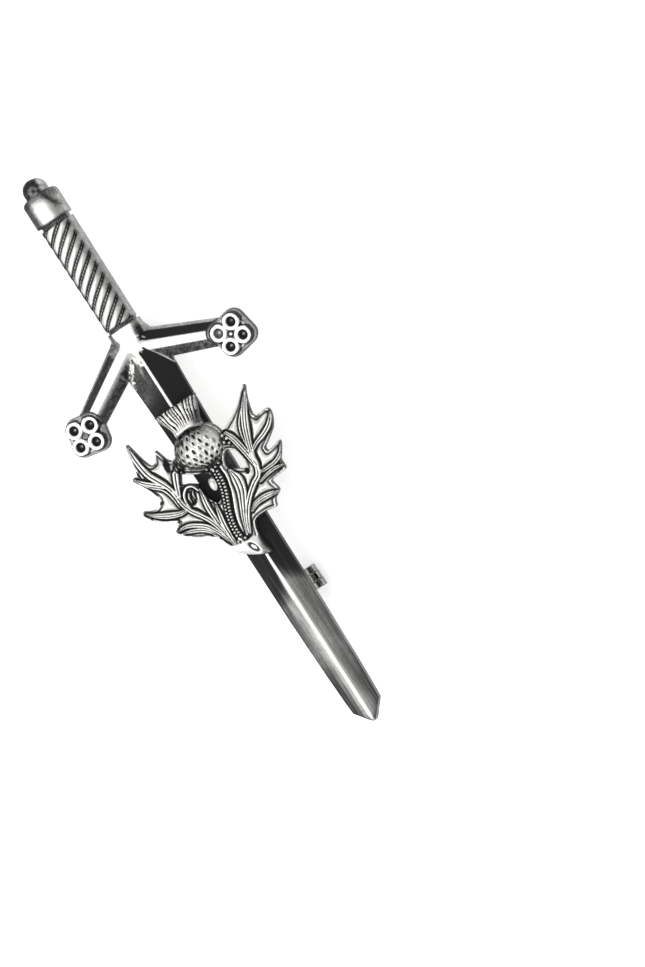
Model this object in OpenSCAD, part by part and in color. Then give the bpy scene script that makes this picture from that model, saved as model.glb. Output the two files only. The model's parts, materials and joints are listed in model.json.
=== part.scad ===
/* [Sword] */
// Overall length from the pommel button to the point
sword_len = 100.5; // [92:0.5:112]
// Width of the pommel cap
pommel_w = 6.1; // [5:0.1:7]
// Length of the pommel cap
pommel_len = 4.9; // [4:0.1:6]
// Width of the round button on the pommel
button_w = 4.1; // [3:0.1:4.8]
// Length by which the button stands out of the cap
button_len = 2.6; // [2:0.1:3.2]
// Depth of the plain side walls of pommel and grip
hilt_wall = 0.7; // [0.5:0.1:1]

/* [Grip] */
// Length of the twisted grip
grip_len = 18.7; // [15:0.1:22]
// Width of the grip
grip_w = 5.6; // [5:0.1:6.4]
// Height of the grip above the flat back
grip_h = 2.8; // [2.4:0.1:3.2]
// Length that a groove takes for one whole turn
groove_lead = 12; // [10.5:0.1:13.5]
// Grooves side by side around the grip
groove_starts = 6; // [5:1:7]
// Depth of a groove
groove_depth = 0.4; // [0.3:0.05:0.5]
// Length of the plain neck on each side of the grip
collar_len = 0.6; // [0.4:0.1:1]

/* [Guard] */
// Distance between the middles of the two quatrefoils
guard_span = 29.2; // [26:0.2:32]
// Length of the guard's middle along the sword
hub_len = 8; // [7.5:0.1:8.5]
// How far the right quatrefoil lies toward the point, from the middle of the hub
right_drop = 6.1; // [5.4:0.1:6.6]
// How far the left quatrefoil lies toward the point, from the middle of the hub
left_drop = 7; // [6.2:0.1:7.4]
// Distance that the arms' middle lines pass above hub and guard ends, toward the grip
arm_rise = 0.5; // [0.3:0.1:0.7]
// How much farther toward the grip the left arm starts at the hub
left_rise = 1.3; // [1:0.1:1.6]
// Width of an arm at the hub
arm_root_w = 5.4; // [5:0.1:5.8]
// Width of an arm at its quatrefoil
arm_end_w = 4.3; // [4:0.1:4.8]
// Height of an arm's flat top above the back
arm_h = 2.3; // [2:0.1:2.5]
// Width of an arm's flat top
arm_top_w = 1.3; // [1:0.1:1.6]
// Height of an arm's plain side wall
arm_wall = 0.8; // [0.6:0.1:1]

/* [Quatrefoils] */
// Radius of one of the four rings
ring_foil_r = 1.5; // [1.45:0.05:1.6]
// Distance between neighbouring rings of a quatrefoil
ring_pitch = 2.8; // [2.7:0.05:2.85]
// Height of the rings above the back
foil_h = 2.5; // [2.3:0.1:2.8]
// Radius of the round dent in each ring
dent_r = 0.8; // [0.7:0.05:0.9]
// Depth of the round dent in each ring
dent_depth = 0.5; // [0.4:0.05:0.6]
// Height of the floor of the star-shaped pit between the rings
pit_floor = 1.7; // [1.4:0.1:1.9]
// Turn of each quatrefoil
foil_turn = 11; // [0:1:20]

/* [Blade] */
// Width of the blade at the guard
blade_w = 8.1; // [7.4:0.1:8.6]
// Height of the blade's middle ridge above the back
blade_h = 2.1; // [1.9:0.1:2.4]
// Fall of each bevel from the ridge, in degrees
bevel = 15; // [12:0.5:16]
// Length of the point
point_len = 2.7; // [2:0.1:3.5]

/* [Thistle spray] */
// Width over the outermost leaf tips
spray_w = 27; // [25:0.2:29]
// Length from the top of the flower to the end of the stalk
spray_len = 27.4; // [25:0.2:29]
// Distance of the spray's top from the middle of the hub
spray_start = 10.5; // [9.8:0.1:11.2]
// Thickness of the leaf plate
leaf_t = 1.1; // [0.9:0.05:1.4]
// Height of the raised leaf rims above the plate
rim_h = 0.35; // [0.2:0.05:0.5]
// Width of the raised leaf rims
rim_w = 0.4; // [0.3:0.05:0.6]
// Radius of the veins at their thick end
vein_r = 0.42; // [0.3:0.02:0.5]
// Width of the round thistle head
head_w = 8.7; // [8:0.1:9.2]
// Length of the round thistle head
head_len = 7; // [6.6:0.1:7.6]
// Height of the round thistle head above the spray's back
head_h = 3.6; // [3:0.1:4]
// Width of the flower at its open end
flower_w = 7.9; // [7.2:0.1:8.4]
// Ribs across the flower
flower_ribs = 12; // [9:1:14]
// Rows of scales on the head
scale_rows = 6; // [5:1:7]
// Width of one scale
scale_w = 1.35; // [1.2:0.05:1.5]
// Diameter of the beads on the stalk
bead_d = 1.3; // [1.1:0.05:1.5]
// Beads on the stalk
bead_count = 11; // [9:1:13]
// Gap between the spray and the blade's ridge
seat_gap = 0.05; // [0.03:0.01:0.1]

/* [Back fittings] */
// Height of the back above the surface that the pin lies on
stand_h = 4.6; // [4.4:0.1:5]
// Diameter of the hinge's round ears
ear_d = 4.3; // [4:0.1:4.4]
// Thickness of each ear
ear_t = 1.1; // [0.9:0.05:1.3]
// Distance of the hinge rivet from the middle of the hub, toward the pommel
hinge_up = 0.3; // [0:0.1:0.6]
// Side offset of the hinge, toward the left arm
hinge_side = 0.4; // [0.2:0.1:0.6]
// Thickness of the soldered feet of hinge and catch
foot_t = 0.5; // [0.4:0.05:0.6]
// Depth of the solder joint in the casting
solder = 0.3; // [0.2:0.05:0.4]
// Diameter of the hinge rivet
rivet_d = 1.2; // [1:0.05:1.3]
// Diameter of the rivet's heads
rivet_head_d = 2.2; // [2:0.1:2.6]
// Thickness of the rivet's heads
rivet_head_t = 0.35; // [0.3:0.05:0.45]

/* [Pin stem] */
// Diameter of the stem's wire
stem_d = 1; // [0.9:0.05:1.1]
// Diameter of the stem's round eye
eye_d = 3.6; // [3.4:0.1:3.7]
// Thickness of the eye
eye_t = 1.1; // [1.05:0.05:1.2]
// Distance from the middle of the eye to the wire's middle line
stem_offset = 1.25; // [1.2:0.05:1.28]
// Length of the thickened root, from the rivet
root_len = 3.5; // [3.2:0.1:4]
// Length of the stem past the catch
stem_past = 6; // [5:0.1:8]
// Length of the stem's sharp point
stem_point = 2; // [1.5:0.1:2.5]

/* [Catch] */
// Distance from the hinge rivet to the middle of the catch
catch_reach = 45.4; // [40:0.2:48]
// Side offset of the catch, toward the right arm
catch_side = 0.95; // [0.6:0.05:1.1]
// Outer diameter of the catch's two rims
catch_d = 4.5; // [4.3:0.1:4.6]
// Length of the catch
catch_len = 3.8; // [3.4:0.1:4.2]
// Length of the turning ring between the rims
rotor_len = 1.3; // [1.1:0.1:1.5]
// Outer diameter of the turning sleeve
sleeve_d = 2.6; // [2.5:0.05:2.7]
// Inner diameter of the turning sleeve
sleeve_bore = 1.7; // [1.6:0.05:1.8]
// Width of the slots that the stem enters through
slot_w = 1.3; // [1.25:0.05:1.4]
// How far the thumb lever reaches from the middle of the catch
lever_reach = 3.4; // [3.1:0.1:3.6]
// Thickness of the thumb lever
lever_t = 0.9; // [0.7:0.05:1]

/* [Fits] */
// Radial clearance of a hole or bore around what turns in it
run_gap = 0.05; // [0.03:0.01:0.08]
// Clearance beside a face that turns past another
side_gap = 0.06; // [0.04:0.01:0.1]
// Radial clearance of the rivet in the ears
press_gap = 0.02; // [0.01:0.005:0.03]

/* [Hidden] */
$fn = 48;

// Places along the sword: the pommel is at +Y, the point at -Y, the front looks up
top_y = sword_len / 2;
tip_y = -sword_len / 2;
cap_y = top_y - button_len;
grip_y = cap_y - pommel_len - collar_len;
hub_top_y = grip_y - grip_len - collar_len;
hub_y = hub_top_y - hub_len / 2;
blade_y = hub_y;
blade_len = blade_y - tip_y;

// Places of the back fittings
ear_r = ear_d / 2;
pivot = [-hinge_side, hub_y + hinge_up, ear_r];
slot_cut = slot_w / 2;
catch_r = catch_d / 2;
// The catch lies on the two edges of its slot, so its middle is a little lower than its radius
catch_z = sqrt(pow(catch_r, 2) - pow(slot_cut, 2));
catch_at = [catch_side, pivot.y - catch_reach, catch_z];
ear_in = eye_t / 2 + side_gap;
ear_out = ear_in + ear_t;
rim_len = (catch_len - rotor_len) / 2 - side_gap;

// Line of the stem: it passes the pivot at its offset and runs through the middle of the catch
stem_from = [pivot.x, pivot.y, pivot.z - stem_offset];
stem_way = catch_at - stem_from;
stem_r = stem_d / 2;
stem_run = norm(stem_way);
stem_total = stem_run + catch_len / 2 + stem_past;
// The plain wire ends before the catch, where the long taper starts
taper_gap = 0.9;
wall_end = stem_run - catch_len / 2 - taper_gap;

// Turns its children from +Z to a direction
module point_along(way) {
    rotate([0, acos(way.z / norm(way)), atan2(way.y, way.x)]) children();
}

// Keeps what lies above the flat back
module above_back(w, y0, y1, h) {
    intersection() {
        children();
        translate([-w, y1, 0]) cube([2 * w, y0 - y1, h]);
    }
}

// Pommel: a round button on a cap with rounded shoulders, both with plain side walls
cap_shoulder = 1.1;
module pommel_profile() {
    intersection() {
        union() {
            square([pommel_w / 2, pommel_len - cap_shoulder]);
            square([pommel_w / 2 - cap_shoulder, pommel_len]);
            translate([pommel_w / 2 - cap_shoulder, pommel_len - cap_shoulder]) circle(r = cap_shoulder);
        }
        square([pommel_w, 2 * pommel_len]);
    }
}

button_r = button_w / 2;
module pommel() {
    button_at = cap_y + button_len - button_r;
    intersection() {
        union() {
            translate([0, cap_y - pommel_len, hilt_wall]) rotate([-90, 0, 0]) rotate_extrude() pommel_profile();
            translate([0, button_at, hilt_wall]) sphere(r = button_r);
            translate([0, cap_y - pommel_len, hilt_wall]) rotate([-90, 0, 0])
                cylinder(r = button_r, h = button_at - cap_y + pommel_len);
        }
        translate([-pommel_w, cap_y - pommel_len, 0]) cube([2 * pommel_w, 2 * pommel_len, pommel_w]);
    }
}

// Grip: half of a round bar with twisted grooves, on a neck that runs through both collars
module groove_section(r) {
    steps = 12;
    shoulder = 0.3;
    polygon([for (g = [0 : groove_starts - 1]) for (s = [0 : steps - 1])
        let (share = s / steps)
        let (a = 360 * (g + share) / groove_starts)
        let (edge = min(share, 1 - share) * steps)
        let (depth = edge < 1 ? groove_depth : edge < 2 ? groove_depth * shoulder : 0)
        (r - depth) * [cos(a), sin(a)]]);
}

module grip() {
    resize([grip_w, grip_len, grip_h])
        translate([0, grip_y - grip_len, 0])
            intersection() {
                rotate([-90, 0, 0])
                    linear_extrude(height = grip_len, twist = -360 * grip_len / groove_lead, slices = 40)
                        groove_section(grip_w / 2);
                translate([-grip_w, 0, 0]) cube([2 * grip_w, grip_len, grip_w]);
            }
    neck_step = 0.1;
    neck_r = grip_w / 2 - groove_depth - neck_step;
    above_back(grip_w, grip_y + 2 * collar_len, hub_top_y - collar_len, grip_w)
        translate([0, hub_top_y - collar_len, 0])
            rotate([-90, 0, 0]) cylinder(r = neck_r, h = grip_len + 4 * collar_len);
}

// Guard: a hub, two bevelled arms and their quatrefoils
thin = 0.01;
module arm_end(at, w, turn) {
    translate([at.x, at.y, 0]) rotate([0, 0, turn]) rotate([90, 0, 90])
        linear_extrude(height = thin)
            polygon([[-w / 2, 0], [w / 2, 0], [w / 2, arm_wall], [arm_top_w / 2, arm_h],
                [-arm_top_w / 2, arm_h], [-w / 2, arm_wall]]);
}

module arm(side, drop, rise = 0) {
    foil = [side * guard_span / 2, hub_y - drop];
    root = [0, hub_y + rise];
    way = foil - root;
    turn = atan2(way.y, way.x);
    translate([0, arm_rise, 0]) hull() {
        arm_end(root, arm_root_w, turn);
        arm_end(foil - way / norm(way) * ring_pitch / 2, arm_end_w, turn);
    }
    translate([foil.x, foil.y, 0]) rotate([0, 0, side * foil_turn]) quatrefoil();
}

// Guard end: four dented rings on a block whose sides lean out to the back
draft = 0.4;
module quatrefoil() {
    half = ring_pitch / 2;
    dent_ball = (pow(dent_r, 2) + pow(dent_depth, 2)) / (2 * dent_depth);
    difference() {
        union() {
            hull()
                for (x = [-half, half]) for (y = [-half, half])
                    translate([x, y, 0]) cylinder(r1 = ring_foil_r + draft, r2 = ring_foil_r, h = pit_floor);
            for (x = [-half, half]) for (y = [-half, half])
                translate([x, y, 0]) cylinder(r = ring_foil_r, h = foil_h);
        }
        for (x = [-half, half]) for (y = [-half, half])
            translate([x, y, foil_h - dent_depth + dent_ball]) sphere(r = dent_ball);
    }
}

module hub_rib(y, w, h) {
    translate([-w / 2, y, 0]) cube([w, thin, h]);
}

hub_flare = 0.9;
hub_rise = 0.2;
module hub() {
    hub_w = grip_w + 2 * hub_flare;
    hull() {
        hub_rib(hub_top_y - thin, grip_w, arm_wall);
        hub_rib(hub_y, hub_w, arm_wall);
        hub_rib(hub_y - hub_len / 2, blade_w, arm_wall);
        hub_rib(hub_top_y - thin, arm_top_w, arm_h);
        hub_rib(hub_y - hub_len / 4, arm_top_w, arm_h + hub_rise);
    }
}

// Blade: its outline, cut by a roof of two flat bevels
// Rows: share of the blade's length from the guard, share of its width there
blade_rows = [[0, 1.02], [0.1, 0.965], [0.23, 0.875], [0.54, 0.778], [0.72, 0.763], [0.86, 0.706], [0.93, 0.655]];
point_share = 0.62;
tip_half = 0.15;
module blade_outline() {
    end = tip_y + point_len;
    last = blade_w / 2 * point_share;
    right = [for (r = blade_rows) [blade_w / 2 * r[1], blade_y - blade_len * r[0]]];
    polygon(concat(right, [[last, end], [tip_half, tip_y], [-tip_half, tip_y], [-last, end]],
        [for (i = [len(right) - 1 : -1 : 0]) [-right[i].x, right[i].y]]));
}

module blade() {
    edge_h = blade_h - blade_w * tan(bevel);
    intersection() {
        linear_extrude(height = blade_h) blade_outline();
        translate([0, blade_y, 0]) rotate([90, 0, 0])
            linear_extrude(height = blade_len)
                polygon([[-blade_w, -1], [blade_w, -1], [blade_w, edge_h], [0, blade_h], [-blade_w, edge_h]]);
    }
}

// Hinge: two round ears on a foot that is soldered to the back
foot_out = 0.8;
leg_share = 0.8;
module hinge_bracket() {
    leg = ear_r * leg_share;
    difference() {
        union() {
            for (side = [-1, 1])
                translate([pivot.x + (side < 0 ? -ear_out : ear_in), pivot.y, 0]) {
                    translate([0, 0, pivot.z]) rotate([0, 90, 0]) cylinder(r = ear_r, h = ear_t);
                    translate([0, -leg, pivot.z]) cube([ear_t, 2 * leg, stand_h - pivot.z + solder / 2]);
                }
            translate([pivot.x - ear_out - foot_out, pivot.y - ear_r, stand_h - foot_t])
                cube([2 * ear_out + foot_out, 2 * ear_r, foot_t + solder]);
        }
        translate(pivot) rotate([0, 90, 0]) cylinder(r = rivet_d / 2 + press_gap, h = 3 * ear_out, center = true);
    }
}

// Catch: two slotted rims on a soldered foot, which hold the turning sleeve between them
rim_leg_share = 0.6;
module slot_out(at, length) {
    translate([at.x - slot_cut, at.y - length, at.z - catch_d]) cube([slot_w, 2 * length, catch_d]);
}

module catch_body() {
    leg = catch_r * rim_leg_share;
    foot_w = catch_d + foot_out;
    difference() {
        union() {
            for (end = [-1, 1])
                translate([catch_at.x, catch_at.y + (end < 0 ? -catch_len / 2 : catch_len / 2 - rim_len), 0]) {
                    translate([0, rim_len, catch_at.z]) rotate([90, 0, 0]) cylinder(r = catch_r, h = rim_len);
                    translate([-leg, 0, catch_at.z]) cube([2 * leg, rim_len, stand_h - catch_at.z + solder / 2]);
                }
            translate([catch_at.x - foot_w + leg, catch_at.y - catch_len / 2, stand_h - foot_t])
                cube([foot_w, catch_len, foot_t + solder]);
        }
        translate(catch_at) rotate([90, 0, 0])
            cylinder(r = sleeve_d / 2 + run_gap, h = 2 * catch_len, center = true);
        slot_out(catch_at, catch_len);
        // room for the turning ring under the foot
        translate(catch_at) rotate([90, 0, 0])
            cylinder(r = catch_r, h = rotor_len + 2 * side_gap, center = true);
    }
}

module sword() {
    color("silver") {
        translate([0, 0, stand_h]) {
            pommel();
            grip();
            hub();
            arm(1, right_drop);
            arm(-1, left_drop, left_rise);
            blade();
        }
        hinge_bracket();
        catch_body();
    }
}

// Thistle spray: places are shares of half the spray's width and of its length
spray_top_y = hub_y - spray_start;
spray_z = stand_h + blade_h + seat_gap;
function reach(share) = share * spray_w / 2;
function spot(share) = [reach(share[0]), spray_top_y - share[1] * spray_len];

head_spot = [0.047, 0.277];
// Outline of the leaves and the tail, clockwise from the right of the head.
// Rows: share of half width, share of length, rise of the arc to the next row as a share of its chord
leaf_rows = [[0.30, 0.276, 0], [0.42, 0.274, -0.06], [0.893, 0.115, 0], [0.905, 0.128, -0.04], [0.79, 0.303, -0.05],
    [0.962, 0.301, 0.1], [1, 0.322, 0.12], [0.698, 0.5, -0.03], [0.893, 0.492, 0.1], [0.9, 0.504, 0],
    [0.785, 0.591, 0], [0.785, 0.643, 0.1], [0.765, 0.654, 0], [0.55, 0.665, 0], [0.585, 0.727, 0.1],
    [0.56, 0.743, 0], [0.475, 0.763, 0], [0.435, 0.805, 0.1], [0.41, 0.808, -0.05], [0.12, 0.808, -0.06],
    [0.072, 0.9, -0.05], [0.1, 1, 0.1], [0.07, 1.005, 0.07], [-0.25, 0.916, -0.05], [-0.38, 0.766, 0],
    [-0.59, 0.712, 0.04], [-0.76, 0.625, 0], [-0.675, 0.584, 0.07], [-0.997, 0.437, 0.1], [-0.975, 0.417, -0.17],
    [-0.715, 0.425, -0.06], [-0.878, 0.238, 0.1], [-0.85, 0.224, 0], [-0.79, 0.23, 0], [-0.714, 0.046, 0.1],
    [-0.7, 0.048, 0], [-0.585, 0.223, -0.05], [-0.52, 0.219, 0], [-0.45, 0.166, 0.1], [-0.436, 0.168, -0.04],
    [-0.343, 0.268, 0], [-0.2, 0.25, 0]];
// Openings through the leaves, rows as above
right_opening = [[0.197, 0.455, 0.1], [0.275, 0.381, 0.15], [0.408, 0.437, 0.05], [0.395, 0.52, 0.1],
    [0.215, 0.48, 0.1]];
left_opening = [[-0.35, 0.35, 0], [-0.4, 0.409, 0], [-0.315, 0.427, 0], [-0.23, 0.46, 0], [-0.145, 0.58, 0.1],
    [-0.098, 0.609, 0.1], [-0.02, 0.566, 0], [-0.013, 0.463, 0.1], [-0.09, 0.427, 0], [-0.2, 0.387, 0]];
// Raised veins. Rows: share of half width and of length at the thick end, the same at the thin end
vein_rows = [[0.003, 0.828, 0.157, 0.7], [0.157, 0.7, 0.39, 0.61], [0.39, 0.61, 0.506, 0.536],
    [0.506, 0.536, 0.552, 0.445], [0.552, 0.445, 0.465, 0.318], [0.53, 0.465, 0.66, 0.318], [0.66, 0.318, 0.88, 0.15],
    [0.57, 0.456, 0.74, 0.427], [0.74, 0.427, 0.965, 0.335], [0.5, 0.58, 0.7, 0.584], [0.7, 0.584, 0.87, 0.515],
    [0.45, 0.62, 0.76, 0.622], [0.18, 0.755, 0.35, 0.719], [0.35, 0.719, 0.56, 0.73], [0.24, 0.645, 0.2, 0.49],
    [-0.23, 0.865, -0.267, 0.755], [-0.267, 0.755, -0.307, 0.682], [-0.307, 0.682, -0.493, 0.555],
    [-0.493, 0.555, -0.526, 0.445], [-0.526, 0.445, -0.656, 0.318], [-0.656, 0.318, -0.726, 0.172],
    [-0.726, 0.172, -0.708, 0.06], [-0.58, 0.383, -0.855, 0.243], [-0.52, 0.547, -0.733, 0.522],
    [-0.733, 0.522, -0.97, 0.445], [-0.3, 0.7, -0.74, 0.626], [-0.5, 0.463, -0.385, 0.336],
    [-0.28, 0.72, -0.26, 0.55]];
// Middle line of the beaded stalk. Rows: share of half width, share of length
stalk = [[0.062, 0.44], [0.034, 0.555], [-0.051, 0.646], [-0.12, 0.755], [-0.12, 0.85]];
// Smooth end below the stalk. Rows as above, with the radius as a share of half width
tail = [[-0.08, 0.88, 0.13], [0.03, 0.95, 0.07]];
eye_spot = [-0.03, 0.92];
// Bundles of small sepals beside the head
sepals = [[0.36, 0.31, 0.42, 0.29], [0.37, 0.34, 0.42, 0.33], [-0.3, 0.31, -0.37, 0.3], [-0.3, 0.34, -0.38, 0.33]];

// Points of one outline: each row starts an arc that ends at the next row
arc_steps = 4;
function arc_points(rows) = [for (i = [0 : len(rows) - 1])
    let (from = spot(rows[i]), to = spot(rows[(i + 1) % len(rows)]))
    let (out = [from.y - to.y, to.x - from.x])
    for (s = [0 : (rows[i][2] == 0 ? 0 : arc_steps - 1)])
        let (share = s / arc_steps)
        from + (to - from) * share + out * rows[i][2] * 4 * share * (1 - share)];

module leaves2d() {
    difference() {
        polygon(arc_points(leaf_rows));
        polygon(arc_points(right_opening));
        polygon(arc_points(left_opening));
    }
}

// Outline of one vein, thick at its root
vein_taper = 0.6;
vein_rise = 1.3;
module vein2d(row, r) {
    hull() {
        translate(spot([row[0], row[1]])) circle(r = r, $fn = 12);
        translate(spot([row[2], row[3]])) circle(r = r * vein_taper, $fn = 12);
    }
}

rim_step = 0.04;
module leaf_plates() {
    linear_extrude(height = leaf_t) leaves2d();
    translate([0, 0, leaf_t / 2]) linear_extrude(height = leaf_t / 2 + rim_h) {
        difference() {
            offset(r = -rim_step, $fn = 16) leaves2d();
            offset(r = -rim_w, $fn = 16) leaves2d();
        }
        for (row = concat(vein_rows, sepals)) vein2d(row, vein_r);
    }
    translate([0, 0, leaf_t / 2]) linear_extrude(height = leaf_t / 2 + vein_rise * vein_r)
        for (row = concat(vein_rows, sepals)) vein2d(row, vein_r * vein_taper);
}

// Head: half an egg, set with diamond-shaped scales in shifted rows
scale_h = 0.32;
scale_sink = 0.12;
last_row_angle = 58;
bare_side = 8;
module scale_stud() {
    translate([0, 0, -scale_sink]) cylinder(r1 = scale_w * 0.48, r2 = scale_w / 8, h = scale_h, $fn = 4);
}

module thistle_head() {
    half_w = head_w / 2;
    half_len = head_len / 2;
    translate(concat(spot(head_spot), 0)) intersection() {
        union() {
            scale([half_w, half_len, head_h]) sphere(r = 1, $fn = 40);
            for (row = [0 : scale_rows - 1])
                let (lat = last_row_angle * (2 * row / (scale_rows - 1) - 1))
                let (count = floor(PI * half_w * cos(lat) / scale_w))
                for (i = [0 : count])
                    let (around = 180 * (i + (row % 2) / 2) / count)
                    if (around > bare_side && around < 180 - bare_side)
                        translate([half_w * cos(lat) * cos(around), half_len * sin(lat), head_h * cos(lat) * sin(around)])
                            rotate([-lat, 0, 0]) rotate([0, 90 - around, 0]) scale_stud();
        }
        translate([-head_w, -head_len, 0]) cube([2 * head_w, 2 * head_len, 2 * head_h]);
    }
}

// Flower: ribs that fan out from a narrow neck above the head
flower_start = 0.01;
neck_start = 0.15;
neck_share = 0.58;
rib_r_share = 0.61;
rib_side_h = 1;
rib_h = 2.3;
neck_len = 1.5;
module flower() {
    neck_y = spot([0, neck_start]).y;
    top = spot([0, flower_start]).y;
    mid = spot(head_spot).x;
    neck_w = head_w * neck_share;
    for (i = [0 : flower_ribs - 1])
        let (share = (i + 0.5) / flower_ribs - 0.5)
        let (h = rib_side_h + (rib_h - rib_side_h) * (1 - pow(2 * share, 2)))
        hull() {
            translate([mid + share * flower_w, top, 0])
                cylinder(r = flower_w / flower_ribs * rib_r_share, h = h, $fn = 8);
            translate([mid + share * neck_w, neck_y, 0])
                cylinder(r = neck_w / flower_ribs * rib_r_share, h = h, $fn = 8);
        }
    hull() {
        translate([mid - neck_w / 2, neck_y - neck_len / 2, 0]) cube([neck_w, neck_len, rib_side_h]);
        translate([mid - neck_w / 5, neck_y - neck_len / 2, 0]) cube([neck_w * 0.4, neck_len, rib_h + 0.3]);
    }
}

function along(points, share) =
    let (run = (len(points) - 1) * min(share, 0.9999))
    let (i = floor(run))
    spot(points[i]) + (spot(points[i + 1]) - spot(points[i])) * (run - i);

module stalk_beads() {
    for (i = [0 : bead_count - 1])
        translate(concat(along(stalk, i / (bead_count - 1)), leaf_t)) sphere(r = bead_d / 2, $fn = 12);
}

module tail_end() {
    dent_r = vein_r * 2;
    difference() {
        hull() {
            translate(concat(spot(tail[0]), leaf_t)) scale([1, 1, 0.5]) sphere(r = reach(tail[0][2]), $fn = 18);
            translate(concat(spot(tail[1]), leaf_t)) scale([1, 1, 0.5]) sphere(r = reach(tail[1][2]), $fn = 16);
        }
        translate(concat(spot(eye_spot), leaf_t + reach(tail[0][2]) / 2)) rotate([0, 0, -35]) scale([1, 0.45, 0.6])
            sphere(r = dent_r, $fn = 14);
        translate([-spray_w, -spray_w, -spray_w]) cube([2 * spray_w, 2 * spray_w, spray_w]);
    }
}

module thistle_spray() {
    color("darkgray") translate([0, 0, spray_z]) {
        leaf_plates();
        thistle_head();
        flower();
        stalk_beads();
        tail_end();
    }
}

// Rivet: a shaft through both ears, with a head outside each
module pivot_rivet() {
    head_at = ear_out + side_gap / 2;
    color("gray") translate(pivot) rotate([0, 90, 0]) {
        cylinder(r = rivet_d / 2, h = 2 * head_at + rivet_head_t, center = true);
        for (side = [-1, 1])
            translate([0, 0, side < 0 ? -head_at - rivet_head_t : head_at])
                cylinder(r = rivet_head_d / 2, h = rivet_head_t);
    }
}

// Stem: a round eye on the rivet, a thickened root, a plain wire and a point past the catch
module pin_stem() {
    root_start = 0.8;
    root_r = eye_t / 2 - 0.015;
    end_r = stem_r * 0.94;
    sharp_r = 0.06;
    color("dimgray") difference() {
        union() {
            translate(pivot) rotate([0, 90, 0]) cylinder(r = eye_d / 2, h = eye_t, center = true);
            translate(stem_from) point_along(stem_way) {
                translate([0, 0, root_start]) cylinder(r1 = root_r, r2 = stem_r, h = root_len - root_start);
                translate([0, 0, root_len]) cylinder(r = stem_r, h = wall_end - root_len);
                translate([0, 0, wall_end])
                    cylinder(r1 = stem_r, r2 = end_r, h = stem_total - stem_point - wall_end);
                translate([0, 0, stem_total - stem_point]) cylinder(r1 = end_r, r2 = sharp_r, h = stem_point);
            }
        }
        translate(pivot) rotate([0, 90, 0]) cylinder(r = rivet_d / 2 + run_gap, h = 3 * eye_t, center = true);
    }
}

// Rotor: a slotted sleeve that turns in the rims, with a ring between them and a thumb lever
module catch_rotor() {
    color("gray") translate(catch_at) difference() {
        union() {
            rotate([90, 0, 0]) cylinder(r = sleeve_d / 2, h = catch_len, center = true);
            rotate([90, 0, 0]) cylinder(r = catch_r - run_gap, h = rotor_len, center = true);
            translate([0, -rotor_len / 2, -lever_t / 2]) cube([lever_reach, rotor_len, lever_t]);
            translate([catch_r + run_gap, -catch_len / 2, -lever_t / 2])
                cube([lever_reach - catch_r - run_gap, catch_len, lever_t]);
        }
        rotate([90, 0, 0]) cylinder(r = sleeve_bore / 2, h = 2 * catch_len, center = true);
        translate([-slot_cut, -catch_len, -catch_d]) cube([slot_w, 2 * catch_len, catch_d]);
    }
}

sword();
thistle_spray();
pivot_rivet();
pin_stem();
catch_rotor();
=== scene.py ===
"""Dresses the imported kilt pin: a cast claymore with a thistle spray, and the pin fittings on its back."""
import math
from functools import partial

import bmesh
import bpy
import numpy as np
from mathutils import Matrix, Vector, noise as texture_noise
from mathutils.geometry import delaunay_2d_cdt
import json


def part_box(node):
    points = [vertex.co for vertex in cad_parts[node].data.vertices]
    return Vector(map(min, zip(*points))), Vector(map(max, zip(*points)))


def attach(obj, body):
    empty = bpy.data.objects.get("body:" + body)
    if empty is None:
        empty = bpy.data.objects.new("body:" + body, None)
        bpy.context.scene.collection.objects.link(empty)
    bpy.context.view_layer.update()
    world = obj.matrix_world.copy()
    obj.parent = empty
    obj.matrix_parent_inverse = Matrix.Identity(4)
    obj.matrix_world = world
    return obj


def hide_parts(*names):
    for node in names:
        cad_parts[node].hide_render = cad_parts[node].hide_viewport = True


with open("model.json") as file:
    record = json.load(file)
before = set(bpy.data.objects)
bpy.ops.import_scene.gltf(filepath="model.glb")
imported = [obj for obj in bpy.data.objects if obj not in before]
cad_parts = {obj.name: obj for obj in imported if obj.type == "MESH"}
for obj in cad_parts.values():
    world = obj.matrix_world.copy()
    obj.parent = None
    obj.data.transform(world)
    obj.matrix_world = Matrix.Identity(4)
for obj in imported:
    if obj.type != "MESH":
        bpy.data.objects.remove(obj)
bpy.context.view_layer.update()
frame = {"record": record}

# All sizes are in millimetres until a mesh is made
MM = 0.001


def node_box(name):
    """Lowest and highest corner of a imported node."""
    return [np.array(corner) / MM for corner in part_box(name)]


def joint_place(name):
    """Where a packed joint turns."""
    joints = frame["record"]["behaviour"]["joints"]
    return np.array(next(j["pos_m"] for j in joints if j["name"] == name)) / MM


_, SWORD_HIGH = node_box("sword")
SPRAY_LOW, _ = node_box("thistle_spray")
PIVOT = Vector(joint_place("pin_hinge"))
CATCH = Vector(joint_place("rotor_turn"))

BLADE_H = 2.1
SEAT_GAP = 0.05
BACK_Z = SPRAY_LOW[2] - SEAT_GAP - BLADE_H
# Places along the sword are measured from the pommel's shoulder, toward the point
BUTTON_END = -0.6

# The photograph looks at the pin from a little to the right of square
VIEW_TILT = math.radians(17)
# Where the view shows the sword's middle line at one place, and how it drifts toward the point
VIEW_SHIFT = -0.69
VIEW_DRIFT = 0.0085
VIEW_DRIFT_FROM = 37


def along_y(p):
    """The model's Y of a place p along the sword."""
    return SWORD_HIGH[1] - (p - BUTTON_END)


def seen(x, p, height):
    """The true x of something seen at x in the photograph's view, at a height above the back."""
    shift = VIEW_SHIFT + (p - VIEW_DRIFT_FROM) * VIEW_DRIFT
    return (x - shift + height * math.sin(VIEW_TILT)) / math.cos(VIEW_TILT)


# Fields over a grid of places: x runs across the sword and p along it


def ease(low, high, value):
    """0 below low, 1 above high, with a soft step between."""
    t = np.clip((value - low) / (high - low), 0, 1)
    return t * t * (3 - 2 * t)


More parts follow.
